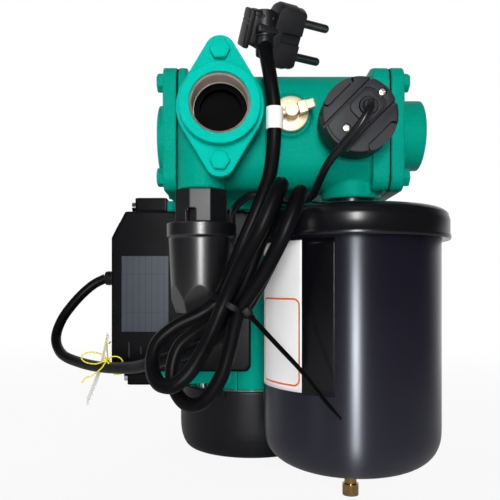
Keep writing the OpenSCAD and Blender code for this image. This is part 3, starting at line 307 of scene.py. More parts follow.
# points on a smooth curve through the route
def smoothRoute(route, stepsBetween=8):
    points = [Vector(point) for point in route]
    points = [2 * points[0] - points[1]] + points + [2 * points[-1] - points[-2]]
    found = []
    for first, start, end, last in zip(points, points[1:], points[2:], points[3:]):
        for step in range(stepsBetween):
            t = step / stepsBetween
            found.append(0.5 * (2 * start + (end - first) * t
                                + (2 * first - 5 * start + 4 * end - last) * t * t
                                + (3 * start - first - 3 * end + last) * t ** 3))
    return found + [points[-2]]


def routeLength(points):
    return sum((after - before).length for before, after in zip(points, points[1:])) * mm


def leadCurve(name, lead, sidesShare=5):
    points = smoothRoute(lead["route"])
    curve = bpy.data.curves.new(name, "CURVE")
    curve.dimensions = "3D"
    spline = curve.splines.new("POLY")
    spline.points.add(len(points) - 1)
    for target, point in zip(spline.points, points):
        target.co = (*(point * mm), 1)
    curve.bevel_depth = lead["diameter"] / 2 * mm
    curve.bevel_resolution = sidesShare
    curve.use_fill_caps = True
    spline.use_smooth = True
    obj = bpy.data.objects.new(name, curve)
    scene.collection.objects.link(obj)
    return obj, points


mainsCurve, mainsPoints = leadCurve("mainsLead", mainsLead)
switchCurve, switchPoints = leadCurve("switchLead", switchLead, 4)
print("stage: leads laid, mains %.3f m, switch %.3f m" % (
    routeLength(mainsPoints), routeLength(switchPoints)))


# shared effects as node groups

def newGroup(name, inputs, outputs):
    group = bpy.data.node_groups.new(name, "ShaderNodeTree")
    for title, value in inputs.items():
        kind = "NodeSocketVector" if isinstance(value, tuple) else "NodeSocketFloat"
        group.interface.new_socket(name=title, in_out="INPUT", socket_type=kind).default_value = value
    for title in outputs:
        group.interface.new_socket(name=title, in_out="OUTPUT", socket_type="NodeSocketFloat")
    return group, group.nodes.new("NodeGroupInput"), group.nodes.new("NodeGroupOutput")


# gives sockets of a node their values, or joins them to other sockets
def fed(tree, node, feeds):
    for title, value in feeds.items():
        if isinstance(value, bpy.types.NodeSocket):
            tree.links.new(value, node.inputs[title])
        else:
            node.inputs[title].default_value = value
    return node


def addNode(tree, kind, feeds={}, **values):
    node = tree.nodes.new(kind)
    for key, value in values.items():
        setattr(node, key, value)
    return fed(tree, node, feeds)


def mathNode(tree, operation, first, second=0):
    return addNode(tree, "ShaderNodeMath", {0: first, 1: second}, operation=operation).outputs[0]


def vectorNode(tree, operation, first, second=(0, 0, 0)):
    node = addNode(tree, "ShaderNodeVectorMath", {0: first, 1: second}, operation=operation)
    return node.outputs["Value" if operation == "LENGTH" else "Vector"]


# a cast, moulded or sprayed skin: fine grain over slow waves, and a slow tone
skinEffect = {
    "grain": {"Fine": 1500, "Coarse": 300, "Tone Scale": 40}, "details": (3, 2, 4),
    "shares": (0.45, 0.55), "speckRamp": (0.56, 0.66),
}


def makeSkinGroup(look):
    group, entry, leave = newGroup("surfaceSkin", look["grain"], ("Height", "Tone", "Speck"))
    coords = addNode(group, "ShaderNodeTexCoord").outputs["Object"]
    found = []
    for title, detail in zip(look["grain"], look["details"]):
        feeds = {"Vector": coords, "Scale": entry.outputs[title], "Detail": detail}
        found.append(addNode(group, "ShaderNodeTexNoise", feeds).outputs[0])
    fine, coarse, tone = found
    heights = [mathNode(group, "MULTIPLY", noise, share) for noise, share in zip((fine, coarse), look["shares"])]
    speck = addNode(group, "ShaderNodeValToRGB", {0: fine})
    for element, position in zip(speck.color_ramp.elements, look["speckRamp"]):
        element.position = position
    fed(group, leave, {"Height": mathNode(group, "ADD", *heights), "Tone": tone, "Speck": speck.outputs[0]})
    return group


# rings left by turning, round an axis through Centre
turningEffect = {"rings": 900, "distortion": 0.6, "detail": 2, "toneScale": 350}


def makeTurningGroup(look):
    inputs = {"Centre": (0, 0, 0), "Rings": look["rings"]}
    group, entry, leave = newGroup("turningRings", inputs, ("Height", "Tone"))
    coords = addNode(group, "ShaderNodeTexCoord").outputs["Object"]
    wave = addNode(group, "ShaderNodeTexWave", {
        "Vector": vectorNode(group, "SUBTRACT", coords, entry.outputs["Centre"]), "Scale": entry.outputs["Rings"],
        "Distortion": look["distortion"], "Detail": look["detail"]}, wave_type="RINGS", rings_direction="SPHERICAL")
    noise = addNode(group, "ShaderNodeTexNoise", {"Vector": coords, "Scale": look["toneScale"]})
    fed(group, leave, {"Height": wave.outputs["Fac"], "Tone": noise.outputs[0]})
    return group


skinGroup = makeSkinGroup(skinEffect)
turningGroup = makeTurningGroup(turningEffect)


def paint(red, green, blue):
    shares = [value / 255 for value in (red, green, blue)]
    return tuple(s / 12.92 if s <= 0.04045 else ((s + 0.055) / 1.055) ** 2.4 for s in shares) + (1,)


# what a look may set on the shader, and what holds where it doesn't
shaderSettings = {
    "metallic": ("Metallic", 0), "specular": ("Specular IOR Level", 0.5), "tint": ("Specular Tint", (1, 1, 1, 1)),
    "stretch": ("Anisotropic", 0), "stretchTurn": ("Anisotropic Rotation", 0),
}


def newMaterial(name, look):
    material = bpy.data.materials.new(name)
    material.use_nodes = True
    tree = material.node_tree
    shader = tree.nodes["Principled BSDF"]
    fed(tree, shader, {title: look.get(key, plain) for key, (title, plain) in shaderSettings.items()})
    return material, tree, shader


# a material whose colour, gloss and bump all follow one effect group
def groupMaterial(name, look, group, feeds):
    material, tree, shader = newMaterial(name, look)
    effect = addNode(tree, "ShaderNodeGroup", feeds, node_tree=group)
    tone = effect.outputs["Tone"]
    dark, pale = look["colours"]
    smooth, rough = look["roughness"]
    strength, depth = look["bump"]
    mix = addNode(tree, "ShaderNodeMix", {"A": paint(*dark), "B": paint(*pale), "Factor": tone}, data_type="RGBA")
    gloss = addNode(tree, "ShaderNodeMapRange", {"To Min": smooth, "To Max": rough, "Value": tone})
    bump = addNode(tree, "ShaderNodeBump", {
        "Strength": strength, "Distance": depth * mm, "Height": effect.outputs["Height"]})
    fed(tree, shader, {"Base Color": mix.outputs["Result"], "Roughness": gloss.outputs[0], "Normal": bump.outputs[0]})
    return material


def skinMaterial(name, look):
    return groupMaterial(name, look, skinGroup, dict(zip(skinEffect["grain"], look["grain"])))


def turnedMaterial(name, look):
    return groupMaterial(name, look, turningGroup, {"Centre": inMetres(look["centre"]), "Rings": look["rings"]})


# lays a second colour over a material's own, where the mask says
def inkOver(material, colour, mask):
    tree = material.node_tree
    shader = tree.nodes["Principled BSDF"]
    below = shader.inputs["Base Color"].links[0].from_socket
    mix = addNode(tree, "ShaderNodeMix", {"A": below, "B": paint(*colour), "Factor": mask}, data_type="RGBA")
    fed(tree, shader, {"Base Color": mix.outputs["Result"]})


# two close colours, roughness, bump strength and depth, grain, and the rest
def skin(dark, pale, roughness, bump, grain, **others):
    return {"colours": (dark, pale), "roughness": roughness, "bump": bump, "grain": grain, **others}


enamelSkin = ((0.36, 0.5), (0.75, 0.4), (1900, 420, 35))
enamelTint = (0.1, 0.95, 0.88, 1)
finishes = {
    # one green enamel in three copies: the chamber's darker copy is painted shade, the flange's lighter copy is
    # painted light
    "greenEnamel": skin((0, 146, 125), (0, 162, 141), *enamelSkin, specular=0.1, tint=enamelTint),
    "chamberEnamel": skin((0, 128, 108), (0, 143, 122), *enamelSkin, specular=0.12, tint=enamelTint),
    "flangeEnamel": skin((0, 160, 143), (0, 174, 157), *enamelSkin, specular=0.1, tint=enamelTint),
    "blackMoulding": skin((14, 14, 17), (22, 22, 26), (0.34, 0.46), (0.25, 0.08), (3200, 900, 60), specular=0.2),
    "boxMoulding": skin((7, 7, 9), (12, 12, 15), (0.2, 0.28), (0.12, 0.06), (3000, 800, 50), specular=0.05),
    "switchMoulding": skin((19, 20, 24), (28, 29, 34), (0.46, 0.58), (0.25, 0.07), (3400, 900, 60), specular=0.25),
    "strainerMoulding": skin((9, 9, 11), (15, 15, 18), (0.27, 0.34), (0.2, 0.08), (2200, 500, 60), specular=0.7),
    "headMoulding": skin((10, 10, 12), (16, 16, 19), (0.38, 0.48), (0.2, 0.08), (2200, 500, 60), specular=0.4),
    "tankEnamel": skin((14, 11, 22), (21, 17, 31), (0.32, 0.36), (0.05, 0.1), (700, 160, 30), specular=0.75,
                           stretch=0.95, stretchTurn=0.25, tint=(0.84, 0.91, 1, 1)),
    "lidEnamel": skin((11, 11, 14), (17, 17, 20), (0.2, 0.28), (0.12, 0.1), (900, 260, 30), specular=0.35),
    "leadSheath": skin((5, 5, 7), (10, 10, 12), (0.34, 0.46), (0.15, 0.06), (2600, 380, 90), specular=0.09),
    "leadGloss": skin((14, 14, 16), (22, 22, 25), (0.2, 0.3), (0.1, 0.05), (2000, 300, 90), specular=0.3),
    "plugMoulding": skin((14, 14, 16), (23, 23, 26), (0.36, 0.5), (0.2, 0.07), (3000, 800, 60), specular=0.35),
    "cardPaper": skin((236, 236, 232), (250, 250, 248), (0.55, 0.7), (0.15, 0.04), (2600, 700, 50), specular=0.2),
    "stringYarn": skin((222, 208, 20), (244, 232, 60), (0.6, 0.8), (0.6, 0.2), (2600, 1400, 120), specular=0.2),
    "darkLabel": skin((6, 5, 8), (10, 9, 12), (0.16, 0.22), (0.05, 0.03), (1500, 300, 50), specular=0.25),
    "brightRing": skin((206, 196, 176), (232, 224, 206), (0.3, 0.42), (0.1, 0.05), (2200, 500, 80), metallic=0.3),
    "gasketRubber": skin((9, 9, 10), (17, 17, 18), (0.6, 0.8), (0.3, 0.1), (2400, 600, 80), specular=0.2),
    "valveRubber": skin((1, 1, 1), (4, 4, 5), (0.5, 0.7), (0.2, 0.1), (2200, 500, 80), specular=0.03),
    "plainSteel": skin((150, 152, 156), (182, 184, 188), (0.26, 0.4), (0.12, 0.04), (2600, 700, 120), metallic=1),
    "brightPlate": skin((205, 207, 212), (226, 228, 232), (0.1, 0.18), (0.04, 0.03), (1500, 400, 90), metallic=1),
    "screwSteel": skin((150, 144, 136), (178, 172, 164), (0.3, 0.42), (0.08, 0.03), (1500, 400, 90), metallic=1),
    "pinSteel": skin((84, 84, 88), (112, 112, 116), (0.28, 0.38), (0.06, 0.03), (1500, 400, 90), metallic=1),
    "coreSteel": skin((90, 92, 98), (120, 122, 128), (0.4, 0.55), (0.3, 0.1), (2600, 500, 90), metallic=1),
    "castAlloy": skin((150, 152, 154), (176, 178, 180), (0.42, 0.58), (0.35, 0.15), (1800, 450, 60), metallic=1),
    "windingCopper": skin((150, 78, 38), (190, 104, 54), (0.3, 0.42), (0.6, 0.3), (1300, 700, 60), metallic=1),
    "castBrass": skin((196, 158, 84), (216, 180, 104), (0.3, 0.42), (0.2, 0.1), (1900, 420, 60), metallic=1),
    "sealCeramic": skin((214, 206, 188), (232, 226, 212), (0.18, 0.28), (0.05, 0.03), (2200, 600, 60)),
    "whiteMoulding": skin((222, 222, 218), (238, 238, 235), (0.4, 0.55), (0.1, 0.04), (2400, 500, 60)),
    "fanMoulding": skin((58, 60, 64), (72, 74, 78), (0.45, 0.6), (0.2, 0.08), (2600, 600, 60)),
}
finish = {name: skinMaterial(name, look) for name, look in finishes.items()}

# fine lighter specks in enamel and switch: colour and share; on the enamel they are painted glints on its grain, on
# the switch the moulding's own speckled grain
specksAndGlints = {name: ((24, 214, 192), 0.22) for name in ("greenEnamel", "chamberEnamel", "flangeEnamel")}
specksAndGlints["switchMoulding"] = ((84, 86, 92), 0.4)
for name, (colour, share) in specksAndGlints.items():
    tree = finish[name].node_tree
    effect = next(node for node in tree.nodes if node.type == "GROUP")
    inkOver(finish[name], colour, mathNode(tree, "MULTIPLY", effect.outputs["Speck"], share))

turnedBrass = {
    "colours": ((214, 194, 158), (236, 220, 192)), "roughness": (0.48, 0.58), "bump": (0.12, 0.06),
    "metallic": 0.6, "rings": 420, "centre": (21.5, -162, 230.5),
}
turned = {
    "turnedBrass": turnedBrass,
    "valveBrass": {**turnedBrass, "colours": ((150, 118, 74), (186, 152, 102)), "centre": (61, -132, 60), "rings": 300,
                   "roughness": (0.16, 0.26), "metallic": 1},
    "threadSteel": {**turnedBrass, "colours": ((128, 112, 104), (164, 148, 138)), "centre": (-18.75, -60, 230),
                    "rings": 240},
}
finish.update({name: turnedMaterial(name, look) for name, look in turned.items()})


# pale label with a bare rounded frame, drawn on its own UV
paleLabelLook = {
    **skin((226, 227, 228), (240, 240, 238), (0.34, 0.44), (0.05, 0.03), (1500, 300, 40), specular=0.3),
    "ink": (232, 96, 40), "sheet": (41.8, 85.2, 0), "middle": (21.7, 27.8, 0), "straight": (14.4, 20.4, 0),
    "corner": 4, "line": 0.55,
}
# plate with plain ruled columns and no words
ratingPlateLook = {
    **skin((36, 42, 50), (46, 53, 62), (0.3, 0.42), (0.08, 0.03), (1800, 400, 60), specular=0.2, metallic=0.2),
    "ink": (20, 23, 28), "spacing": {"X": 4.6, "Z": 27.8}, "line": 0.414, "share": 0.75,
}


def splitCoords(tree, kind):
    coords = addNode(tree, "ShaderNodeTexCoord").outputs[kind]
    return addNode(tree, "ShaderNodeSeparateXYZ", {0: coords})


def paleLabelMaterial(name, look):
    material = skinMaterial(name, look)
    tree = material.node_tree
    place = addNode(tree, "ShaderNodeTexCoord").outputs["UV"]
    for operation, *value in (("MULTIPLY", look["sheet"]), ("SUBTRACT", look["middle"]), ("ABSOLUTE",),
                              ("SUBTRACT", look["straight"]), ("MAXIMUM",)):
        place = vectorNode(tree, operation, place, *value)
    offLine = mathNode(tree, "SUBTRACT", vectorNode(tree, "LENGTH", place), look["corner"])
    inked = mathNode(tree, "LESS_THAN", mathNode(tree, "ABSOLUTE", offLine), look["line"])
    inkOver(material, look["ink"], inked)
    return material


def ratingPlateMaterial(name, look):
    material = skinMaterial(name, look)
    tree = material.node_tree
    split = splitCoords(tree, "Object")
    lines = []
    for axis, spacing in look["spacing"].items():
        share = mathNode(tree, "FRACT", mathNode(tree, "MULTIPLY", split.outputs[axis], 1 / (spacing * mm)))
        lines.append(mathNode(tree, "LESS_THAN", share, look["line"] / spacing))
    inkOver(material, look["ink"], mathNode(tree, "MULTIPLY", mathNode(tree, "MAXIMUM", *lines), look["share"]))
    return material


finish["paleLabel"] = paleLabelMaterial("paleLabel", paleLabelLook)
finish["ratingPlate"] = ratingPlateMaterial("ratingPlate", ratingPlateLook)
print("stage: finishes mixed")

# every imported node gets the finish of what it is made of; the chamber's and the flange's greens are darker and
# lighter copies of one enamel, painted shade and painted light
nodeFinish = {
    "greenEnamel": "motor_frame motor_bracket",
    "chamberEnamel": "pump_body left_end_cover outlet_cover end_cover_bolts",
    "flangeEnamel": "suction_flange suction_bolts",
    "blackMoulding": "fan_cover fan_cover_screws terminal_box switch_base switch_cap cord_gland cable_tie "
                     "cord_plug",
    "strainerMoulding": "strainer_bowl",
    "headMoulding": "strainer_head",
    "tankEnamel": "tank_shell",
    "lidEnamel": "tank_lid tank_nipple",
    "plainSteel": "motor_tie_bolts motor_shaft bearing_outer_rings bearing_inner_rings bearing_balls casing_bolts "
                  "impeller_nut valve_pin strainer_basket switch_screws",
    "brightPlate": "box_screws",
    "pinSteel": "plug_pins",
    "coreSteel": "stator_core rotor_core",
    "castAlloy": "lower_end_shield capacitor",
    "windingCopper": "stator_windings",
    "castBrass": "impeller",
    "turnedBrass": "priming_plug",
    "valveBrass": "gas_valve gas_valve_cap",
    "sealCeramic": "seal_seat seal_ring",
    "gasketRubber": "casing_gasket seal_bellows end_gaskets suction_gasket priming_washer switch_grommet "
                    "tank_diaphragm",
    "valveRubber": "valve_flap valve_seat",
    "leadSheath": "power_cord switch_lead",
    "whiteMoulding": "cord_sleeve switch_plunger terminal_block hang_tag",
    "fanMoulding": "cooling_fan",
}
for finishName, nodes in nodeFinish.items():
    for node in nodes.split():
        frame["nodes"][node].data.materials.clear()
        frame["nodes"][node].data.materials.append(finish[finishName])
print("stage: packed nodes finished")

# castings and mouldings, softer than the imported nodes: node, voxel size, passes of smoothing,
# share of faces kept, finish, slot, and the body if it moves
castings = {
    "pumpBody": ("pump_body", 1.0, 7, 0.55, "chamberEnamel", "green_paint"),
    "motorBracket": ("motor_bracket", 1.1, 5, 0.5, "greenEnamel", "green_paint"),
    "suctionFlange": ("suction_flange", 0.6, 6, 0.7, "flangeEnamel", "green_paint"),
    "leftEndCover": ("left_end_cover", 0.7, 6, 0.6, "chamberEnamel", "green_paint"),
    "outletCover": ("outlet_cover", 0.7, 6, 0.6, "chamberEnamel", "green_paint"),
    "fanCover": ("fan_cover", 0.9, 4, 0.5, "blackMoulding", "black_cover"),
    "terminalBox": ("terminal_box", 1.0, 5, 0.45, "boxMoulding", "black_cover"),
    "strainerHead": ("strainer_head", 0.45, 4, 0.6, "headMoulding", "black_cover"),
    "strainerBowl": ("strainer_bowl", 0.45, 5, 0.6, "strainerMoulding", "black_cover", "bowl"),
}
for name, (node, grain, passes, kept, finishName, slotName, *body) in castings.items():
    piece = softCopy(node, grain, passes, kept)
    dressed(piece, name, finishName, slotName, [node], *body)
    print("stage: %s, %d faces" % (name, len(piece.data.polygons)))

# hexagon bolts, heads chamfered and painted over with the casting
hexBolts = {
    "corner": 5.8, "height": 4.2, "chamfer": 0.6, "topShare": 0.86, "edge": 0.45, "shank": 2.9, "point": 2.6,
    "suction": {"reach": 12, "turns": (26, 31), "places": [(-18.75, -179, 230 + side * 30.3) for side in (-1, 1)]},
    "covers": {"reach": 13, "faces": {-53.3: -90, 88.8: 90}, "turns": (11, 28, 45, 62),
               "places": [(-120 + a * 28.3, 224 + b * 28.3) for a in (-1, 1) for b in (-1, 1)]},
}


def hexBolt(look, reach):
    straight = look["height"] - look["chamfer"]
    head = added(bpy.ops.mesh.primitive_cylinder_add, vertices=6, radius=look["corner"] * mm, depth=straight * mm,
                 location=(0, 0, straight / 2 * mm))
    settle(head)
    pickFaces(head, lambda face: face.normal.z > 0.9)
    bpy.ops.mesh.extrude_region_move(TRANSFORM_OT_translate={"value": (0, 0, look["chamfer"] * mm)})
    bpy.ops.transform.resize(value=(look["topShare"], look["topShare"], 1), center_override=(0, 0, 0))
    setMode("OBJECT")
    bevelled(head, look["edge"], degrees=15)
    shank = grown([(look["point"], -reach), (look["shank"], 0.4 - reach), (look["shank"], 0.2)], sides=24)
    return smoothed(joined([head, shank]))


suction, covers = hexBolts["suction"], hexBolts["covers"]
suctionBolts = []
for turn, place in zip(suction["turns"], suction["places"]):
    suctionBolts.append(facedFront(hexBolt(hexBolts, suction["reach"]), place, turn))
dressed(joined(suctionBolts), "suctionBolts", "flangeEnamel", "green_paint", ["suction_bolts"])
coverBolts = []
for face, lean in covers["faces"].items():
    for turn, (across, up) in zip(covers["turns"], covers["places"]):
        bolt = placed(hexBolt(hexBolts, covers["reach"]), turn=(0, 0, turn))
        coverBolts.append(placed(bolt, (face, across, up), (0, lean, 0)))
dressed(joined(coverBolts), "coverBolts", "chamberEnamel", "green_paint", ["end_cover_bolts"])
print("stage: bolts set")

# pipe threads, cut bare in the two ports
portThreads = {
    "pitch": 2.309, "radius": 16.5, "ridge": 0.95, "wall": 0.12,
    "ports": {
        "suctionThread": {"start": (-18.75, -185.2, 230), "turns": 6, "lean": (-90, 0, 0)},
        "outletThread": {"start": (105.7, -120, 227), "turns": 9, "lean": (0, -90, 0)},
    },
}


def portThread(look, turns):
    radius = look["radius"]
    ridge = added(bpy.ops.mesh.primitive_circle_add, vertices=3, radius=look["ridge"] * mm, fill_type="NGON")
    placed(ridge, (radius - 0.1, 0, 0), (90, -90, 0))
    applied(ridge, "SCREW", axis="Z", angle=2 * math.pi, screw_offset=look["pitch"] * mm, iterations=turns,
            steps=64, render_steps=64)
    depth = (turns + 0.4) * look["pitch"]
    wall = grown([(radius + 0.02, 0.5), (radius - 0.05, 1.2), (radius - 0.05, depth)], closed=False)
    applied(wall, "SOLIDIFY", thickness=look["wall"] * mm, offset=1)
    return smoothed(faceOutwards(joined([ridge, wall])))


for name, port in portThreads["ports"].items():
    thread = placed(portThread(portThreads, port["turns"]), port["start"], port["lean"])
    dressed(thread, name, "threadSteel", "steel")

# bright machined ring where the suction thread runs out
seatRing = {
    "profile": [(15.1, 0), (16.5, 0), (16.5, 0.8), (15.4, 0.8), (15.1, 0.5)], "place": (-18.75, -170.2, 230),
}
ring = grown(seatRing["profile"], closed=False)
pickFaces(ring, lambda face: False)
bpy.ops.mesh.select_mode(type="EDGE")
bpy.ops.mesh.select_non_manifold()
bpy.ops.mesh.bridge_edge_loops()
setMode("OBJECT")
smoothed(faceOutwards(ring))
dressed(facedFront(ring, seatRing["place"]), "suctionSeatRing", "brightRing", "steel")
print("stage: ports threaded")

# cap of the pressure switch: a cup with a raised band across it, a square pad and two pockets
switchCap = {
    "place": (58, -163.5, 224.5), "lean": 45, "sides": 96, "radius": 21, "face": 18.8, "wall": 2, "edge": 0.45,
    "bandTop": 20.2, "bandSides": (8.6, -7.8), "bandReach": 18.9,
    "groove": {"size": (60, 1.9, 6), "floor": 15.6},
    "pad": {"along": 5.2, "across": 0.4, "size": (16.4, 14.6, 6), "top": 20.7, "corner": 4.2, "moat": 1.2},
    "pocket": {"inner": 14.6, "size": (22, 12, 8), "corner": 2.8, "face": 18.2, "line": 1.3, "floor": 15.4},
    "screws": {"along": (16.6, -11), "profile": [(2.3, 18.9), (2.3, 26)]},
    "grommet": {"along": 5.66, "profile": [(5.3, 10), (5.3, 26)]},
}
bandLean = (math.cos(math.radians(switchCap["lean"])), math.sin(math.radians(switchCap["lean"])))
bandSquare = (-bandLean[1], bandLean[0])


def onBand(along, across, height):
    return [bandLean[axis] * along + bandSquare[axis] * across for axis in (0, 1)] + [height]


def makeSwitchCap(look):
    radius, face, wall, sides, lean = (look[key] for key in ("radius", "face", "wall", "sides", "lean"))

    def slab(size, along, across, height, corner, rim=0):
        return roundedSlab(size, onBand(along, across, height), corner, rim, lean)

    cup = grown([(0.4, face - 4), (radius - wall, face - 4), (radius - wall, 0), (radius - 0.5, 0), (radius, 0.6),
                 (radius, face - 1.2), (radius - 0.2, face - 0.5), (radius - 0.6, face - 0.1), (radius - 1, face)],
                sides=sides)
    pocket = look["pocket"]
    length, width, depth = pocket["size"]
    line, corner = pocket["line"], pocket["corner"]
    for side in (1, -1):
        across = side * (pocket["inner"] + width / 2)
        middle = pocket["floor"] + depth / 2
        carved(cup, slab(pocket["size"], 0, across, pocket["face"] + depth / 2, corner))
        outline = slab(pocket["size"], 0, across, middle, corner)
        carved(outline, slab((length - 2 * line, width - 2 * line, width), 0, across, middle, corner - line))
        carved(cup, outline)
    band = grown([(look["bandReach"], face - 1), (look["bandReach"], look["bandTop"])], sides=sides)
    step = grown([(radius - 0.5, face - 1), (radius - 0.5, face + 0.5)], sides=sides)
    for bar in (band, step):
        for offset in look["bandSides"]:
            side = 1 if offset > 0 else -1
            sliced(bar, onBand(0, offset, 0), [side * value for value in bandSquare] + [0])
        bevelled(bar, look["edge"], degrees=40)
    groove = look["groove"]
    length, width, depth = groove["size"]
    for offset in look["bandSides"]:
        place = onBand(0, offset + (0.5 if offset > 0 else -0.5) * width, groove["floor"] + depth / 2)
        carved(cup, roundBlock(groove["size"], place, 0.1, 1, (0, 0, lean)))
    padLook = look["pad"]
    along, across, top, corner, moat = (padLook[key] for key in ("along", "across", "top", "corner", "moat"))
    length, width, depth = padLook["size"]
    pad = slab(padLook["size"], along, across, top - depth / 2, corner, look["edge"])
    carved(band, slab((length + 2 * moat, width + 2 * moat, depth), along, across, top + 1, corner + moat))
    parts = [cup, band, step, pad]
    for along in look["screws"]["along"]:
        for part in parts:
            carved(part, grown(look["screws"]["profile"], onBand(along, 0, 0), sides=32))
    for part in parts:
        carved(part, grown(look["grommet"]["profile"], onBand(look["grommet"]["along"], 0, 0), sides=40))
    cap = smoothed(joined(parts), 32)
    dressed(facedFront(cap, look["place"]), "switchCap", "switchMoulding", "black_cover", ["switch_cap"])


makeSwitchCap(switchCap)

# rubber grommet of the switch, a ring round a tapering neck
switchGrommet = {"place": (62, -163.5, 228.5), "profile": [
    (4.9, 15), (4.9, 21.2), (4.6, 21.5), (4.1, 21.5), (3.9, 21.2), (3.6, 21.2), (3.4, 21.6), (2.7, 22.2), (2.5, 23.6)]}
grommet = smoothed(grown(switchGrommet["profile"], sides=48), 35)
dressed(facedFront(grommet, switchGrommet["place"]), "switchGrommet", "switchMoulding", "rubber", ["switch_grommet"])
print("stage: switch cap made")

# cross-head screws of the switch cap
switchScrews = {
    "place": (58, -183.4, 224.5), "along": (16.6, -11), "turns": (20, 52), "head": 2.1, "height": 1.3,
    "shank": 1.1, "reach": 9,
}


def crossScrew(look):
    head, height, shank = look["head"], look["height"], look["shank"]
    screw = grown([(shank, -look["reach"]), (shank, -height), (head, -height), (head, -height * 0.35),
                   (head * 0.86, -height * 0.1), (head * 0.55, 0)], sides=36)
    for turn in (0, 90):
        carved(screw, roundBlock((head * 1.5, head * 0.42, height * 1.4), (0, 0, 0.05), 0.05, 1, (0, 0, turn)))
    return smoothed(screw)


screws = []
across, front, up = switchScrews["place"]
for turn, along in zip(switchScrews["turns"], switchScrews["along"]):
    place = (across + bandLean[0] * along, front, up + bandLean[1] * along)
    screws.append(facedFront(crossScrew(switchScrews), place, turn))
dressed(joined(screws), "switchScrews", "screwSteel", "bright_screws", ["switch_screws"])

# brass priming plug: turned disc, hub and cross bar
primingPlug = {
    "place": (21.5, -158.5, 230.5), "tilt": 16, "barHeight": 9.2,
    "disc": [(5.2, -10), (5.2, -9), (7.3, -9), (7.4, 0), (9.9, 0), (10.3, 0.5), (10.3, 2.7), (10.05, 3.2), (9.5, 3.5),
             (5.1, 3.5), (4.8, 3.2), (4.4, 3.2), (4.0, 3.7), (3.9, 11.2), (3.5, 11.8), (2.4, 11.8), (2.2, 11.2)],
    "bar": [(1.7, -6.6), (1.7, 6)], "nub": [(2.1, -6.9), (2.5, -6.5), (2.5, -5.5), (2.2, -5.2)],
    "blocks": [((5.2, 7.0, 5.6), (6.4, 0, 9.2), 0.5), ((5.0, 5.2, 4.8), (11.0, 0.4, 9.6), 0.6)],
}


def makePrimingPlug(look):
    disc = grown(look["disc"], sides=72)
    bars = [grown(look[name], (0, 0, look["barHeight"]), "X", 32) for name in ("bar", "nub")]
    bars += [roundBlock(*block) for block in look["blocks"]]
    cross = placed(joined(bars), turn=(0, 0, look["tilt"]))
    plug = smoothed(joined([disc, cross]), 32)
    dressed(facedFront(plug, look["place"]), "primingPlug", "turnedBrass", "brass", ["priming_plug"], "plug")


makePrimingPlug(primingPlug)
print("stage: priming plug made")

# pressure tank: drawn steel shell with a domed end, and its pressed lid
tank = {
    "axis": (61, -132), "sides": 128, "radius": 54.5, "top": 168, "foot": 18.5, "dome": 27, "valveHole": 4.2,
    "lid": {"radius": 60, "high": 177, "low": 158.5, "round": 8, "bendSteps": 10, "middle": (30, 18)},
}


def domeProfile(radius, foot, dome, steps=20):
    found = []
    for step in range(steps):
        angle = math.radians(90 * step / steps)
        found.append((radius * math.cos(angle) ** 0.55, foot + dome * (1 - math.sin(angle) ** 0.8)))
    return found


def makeTank(look):
    inner, top, foot, lid = look["radius"], look["top"], look["foot"], look["lid"]
    place = (*look["axis"], 0)
    shell = grown([(inner - 1, top), (inner, top - 1)] + domeProfile(inner, foot, look["dome"])
                  + [(look["valveHole"], foot + 0.02)], place, sides=look["sides"])
    dressed(smoothed(shell, 50), "tankShell", "tankEnamel", "tank_paint", ["tank_shell"])
    outer, high, low, bend = lid["radius"], lid["high"], lid["low"], lid["round"]
    edge = []
    for step in range(lid["bendSteps"] + 1):
        angle = math.radians(90 * step / lid["bendSteps"])
        height = high - bend * (1 - math.sin(angle))
        inset = 0.5 if height < high - 4 else 0
        edge.append((outer - bend * (1 - math.cos(angle)) - inset, height))
    cover = grown([(inner + 0.2, low + 2.5), (inner + 0.2, low + 0.4), (inner + 0.8, low), (outer - 0.4, low),
                   (outer, low + 0.5), (outer, low + 2.6), (outer - 0.5, low + 3.2)]
                  + edge + [(radius, high) for radius in lid["middle"]], place, sides=look["sides"])
    dressed(smoothed(cover, 40), "tankLid", "lidEnamel", "lid_paint", ["tank_lid"])


makeTank(tank)
print("stage: tank made")

# two plain labels on the tank, bent round it; angles from the front, towards the left
tankLabels = {
    "lift": 0.18, "thick": 0.14, "steps": (28, 24),
    "tankPaleLabel": {"angles": (83, 39), "heights": (71.2, 156.4)},
    "tankDarkLabel": {"angles": (39, 18.4), "heights": (70.4, 157.2)},
}


def plainGrid(steps):
    return added(bpy.ops.mesh.primitive_grid_add, x_subdivisions=steps[0], y_subdivisions=steps[1], size=1)


def between(ends, share):
    return ends[0] + share * (ends[1] - ends[0])


def wrappedLabel(look, label):
    sheet = plainGrid(look["steps"])
    reach = tank["radius"] + look["lift"]
    across, front = tank["axis"]
    for vertex in sheet.data.vertices:
        angle = math.radians(between(label["angles"], vertex.co.x + 0.5))
        height = between(label["heights"], vertex.co.y + 0.5)
        vertex.co = inMetres((across - reach * math.sin(angle), front - reach * math.cos(angle), height))
    applied(sheet, "SOLIDIFY", thickness=look["thick"] * mm, offset=-1)
    takeUp(sheet)
    bpy.ops.object.shade_smooth()
    return sheet


for name, finishName, slotName in (
        ("tankPaleLabel", "paleLabel", "white_plastic"), ("tankDarkLabel", "darkLabel", "tank_paint")):
    dressed(wrappedLabel(tankLabels, tankLabels[name]), name, finishName, slotName)
print("stage: labels laid")

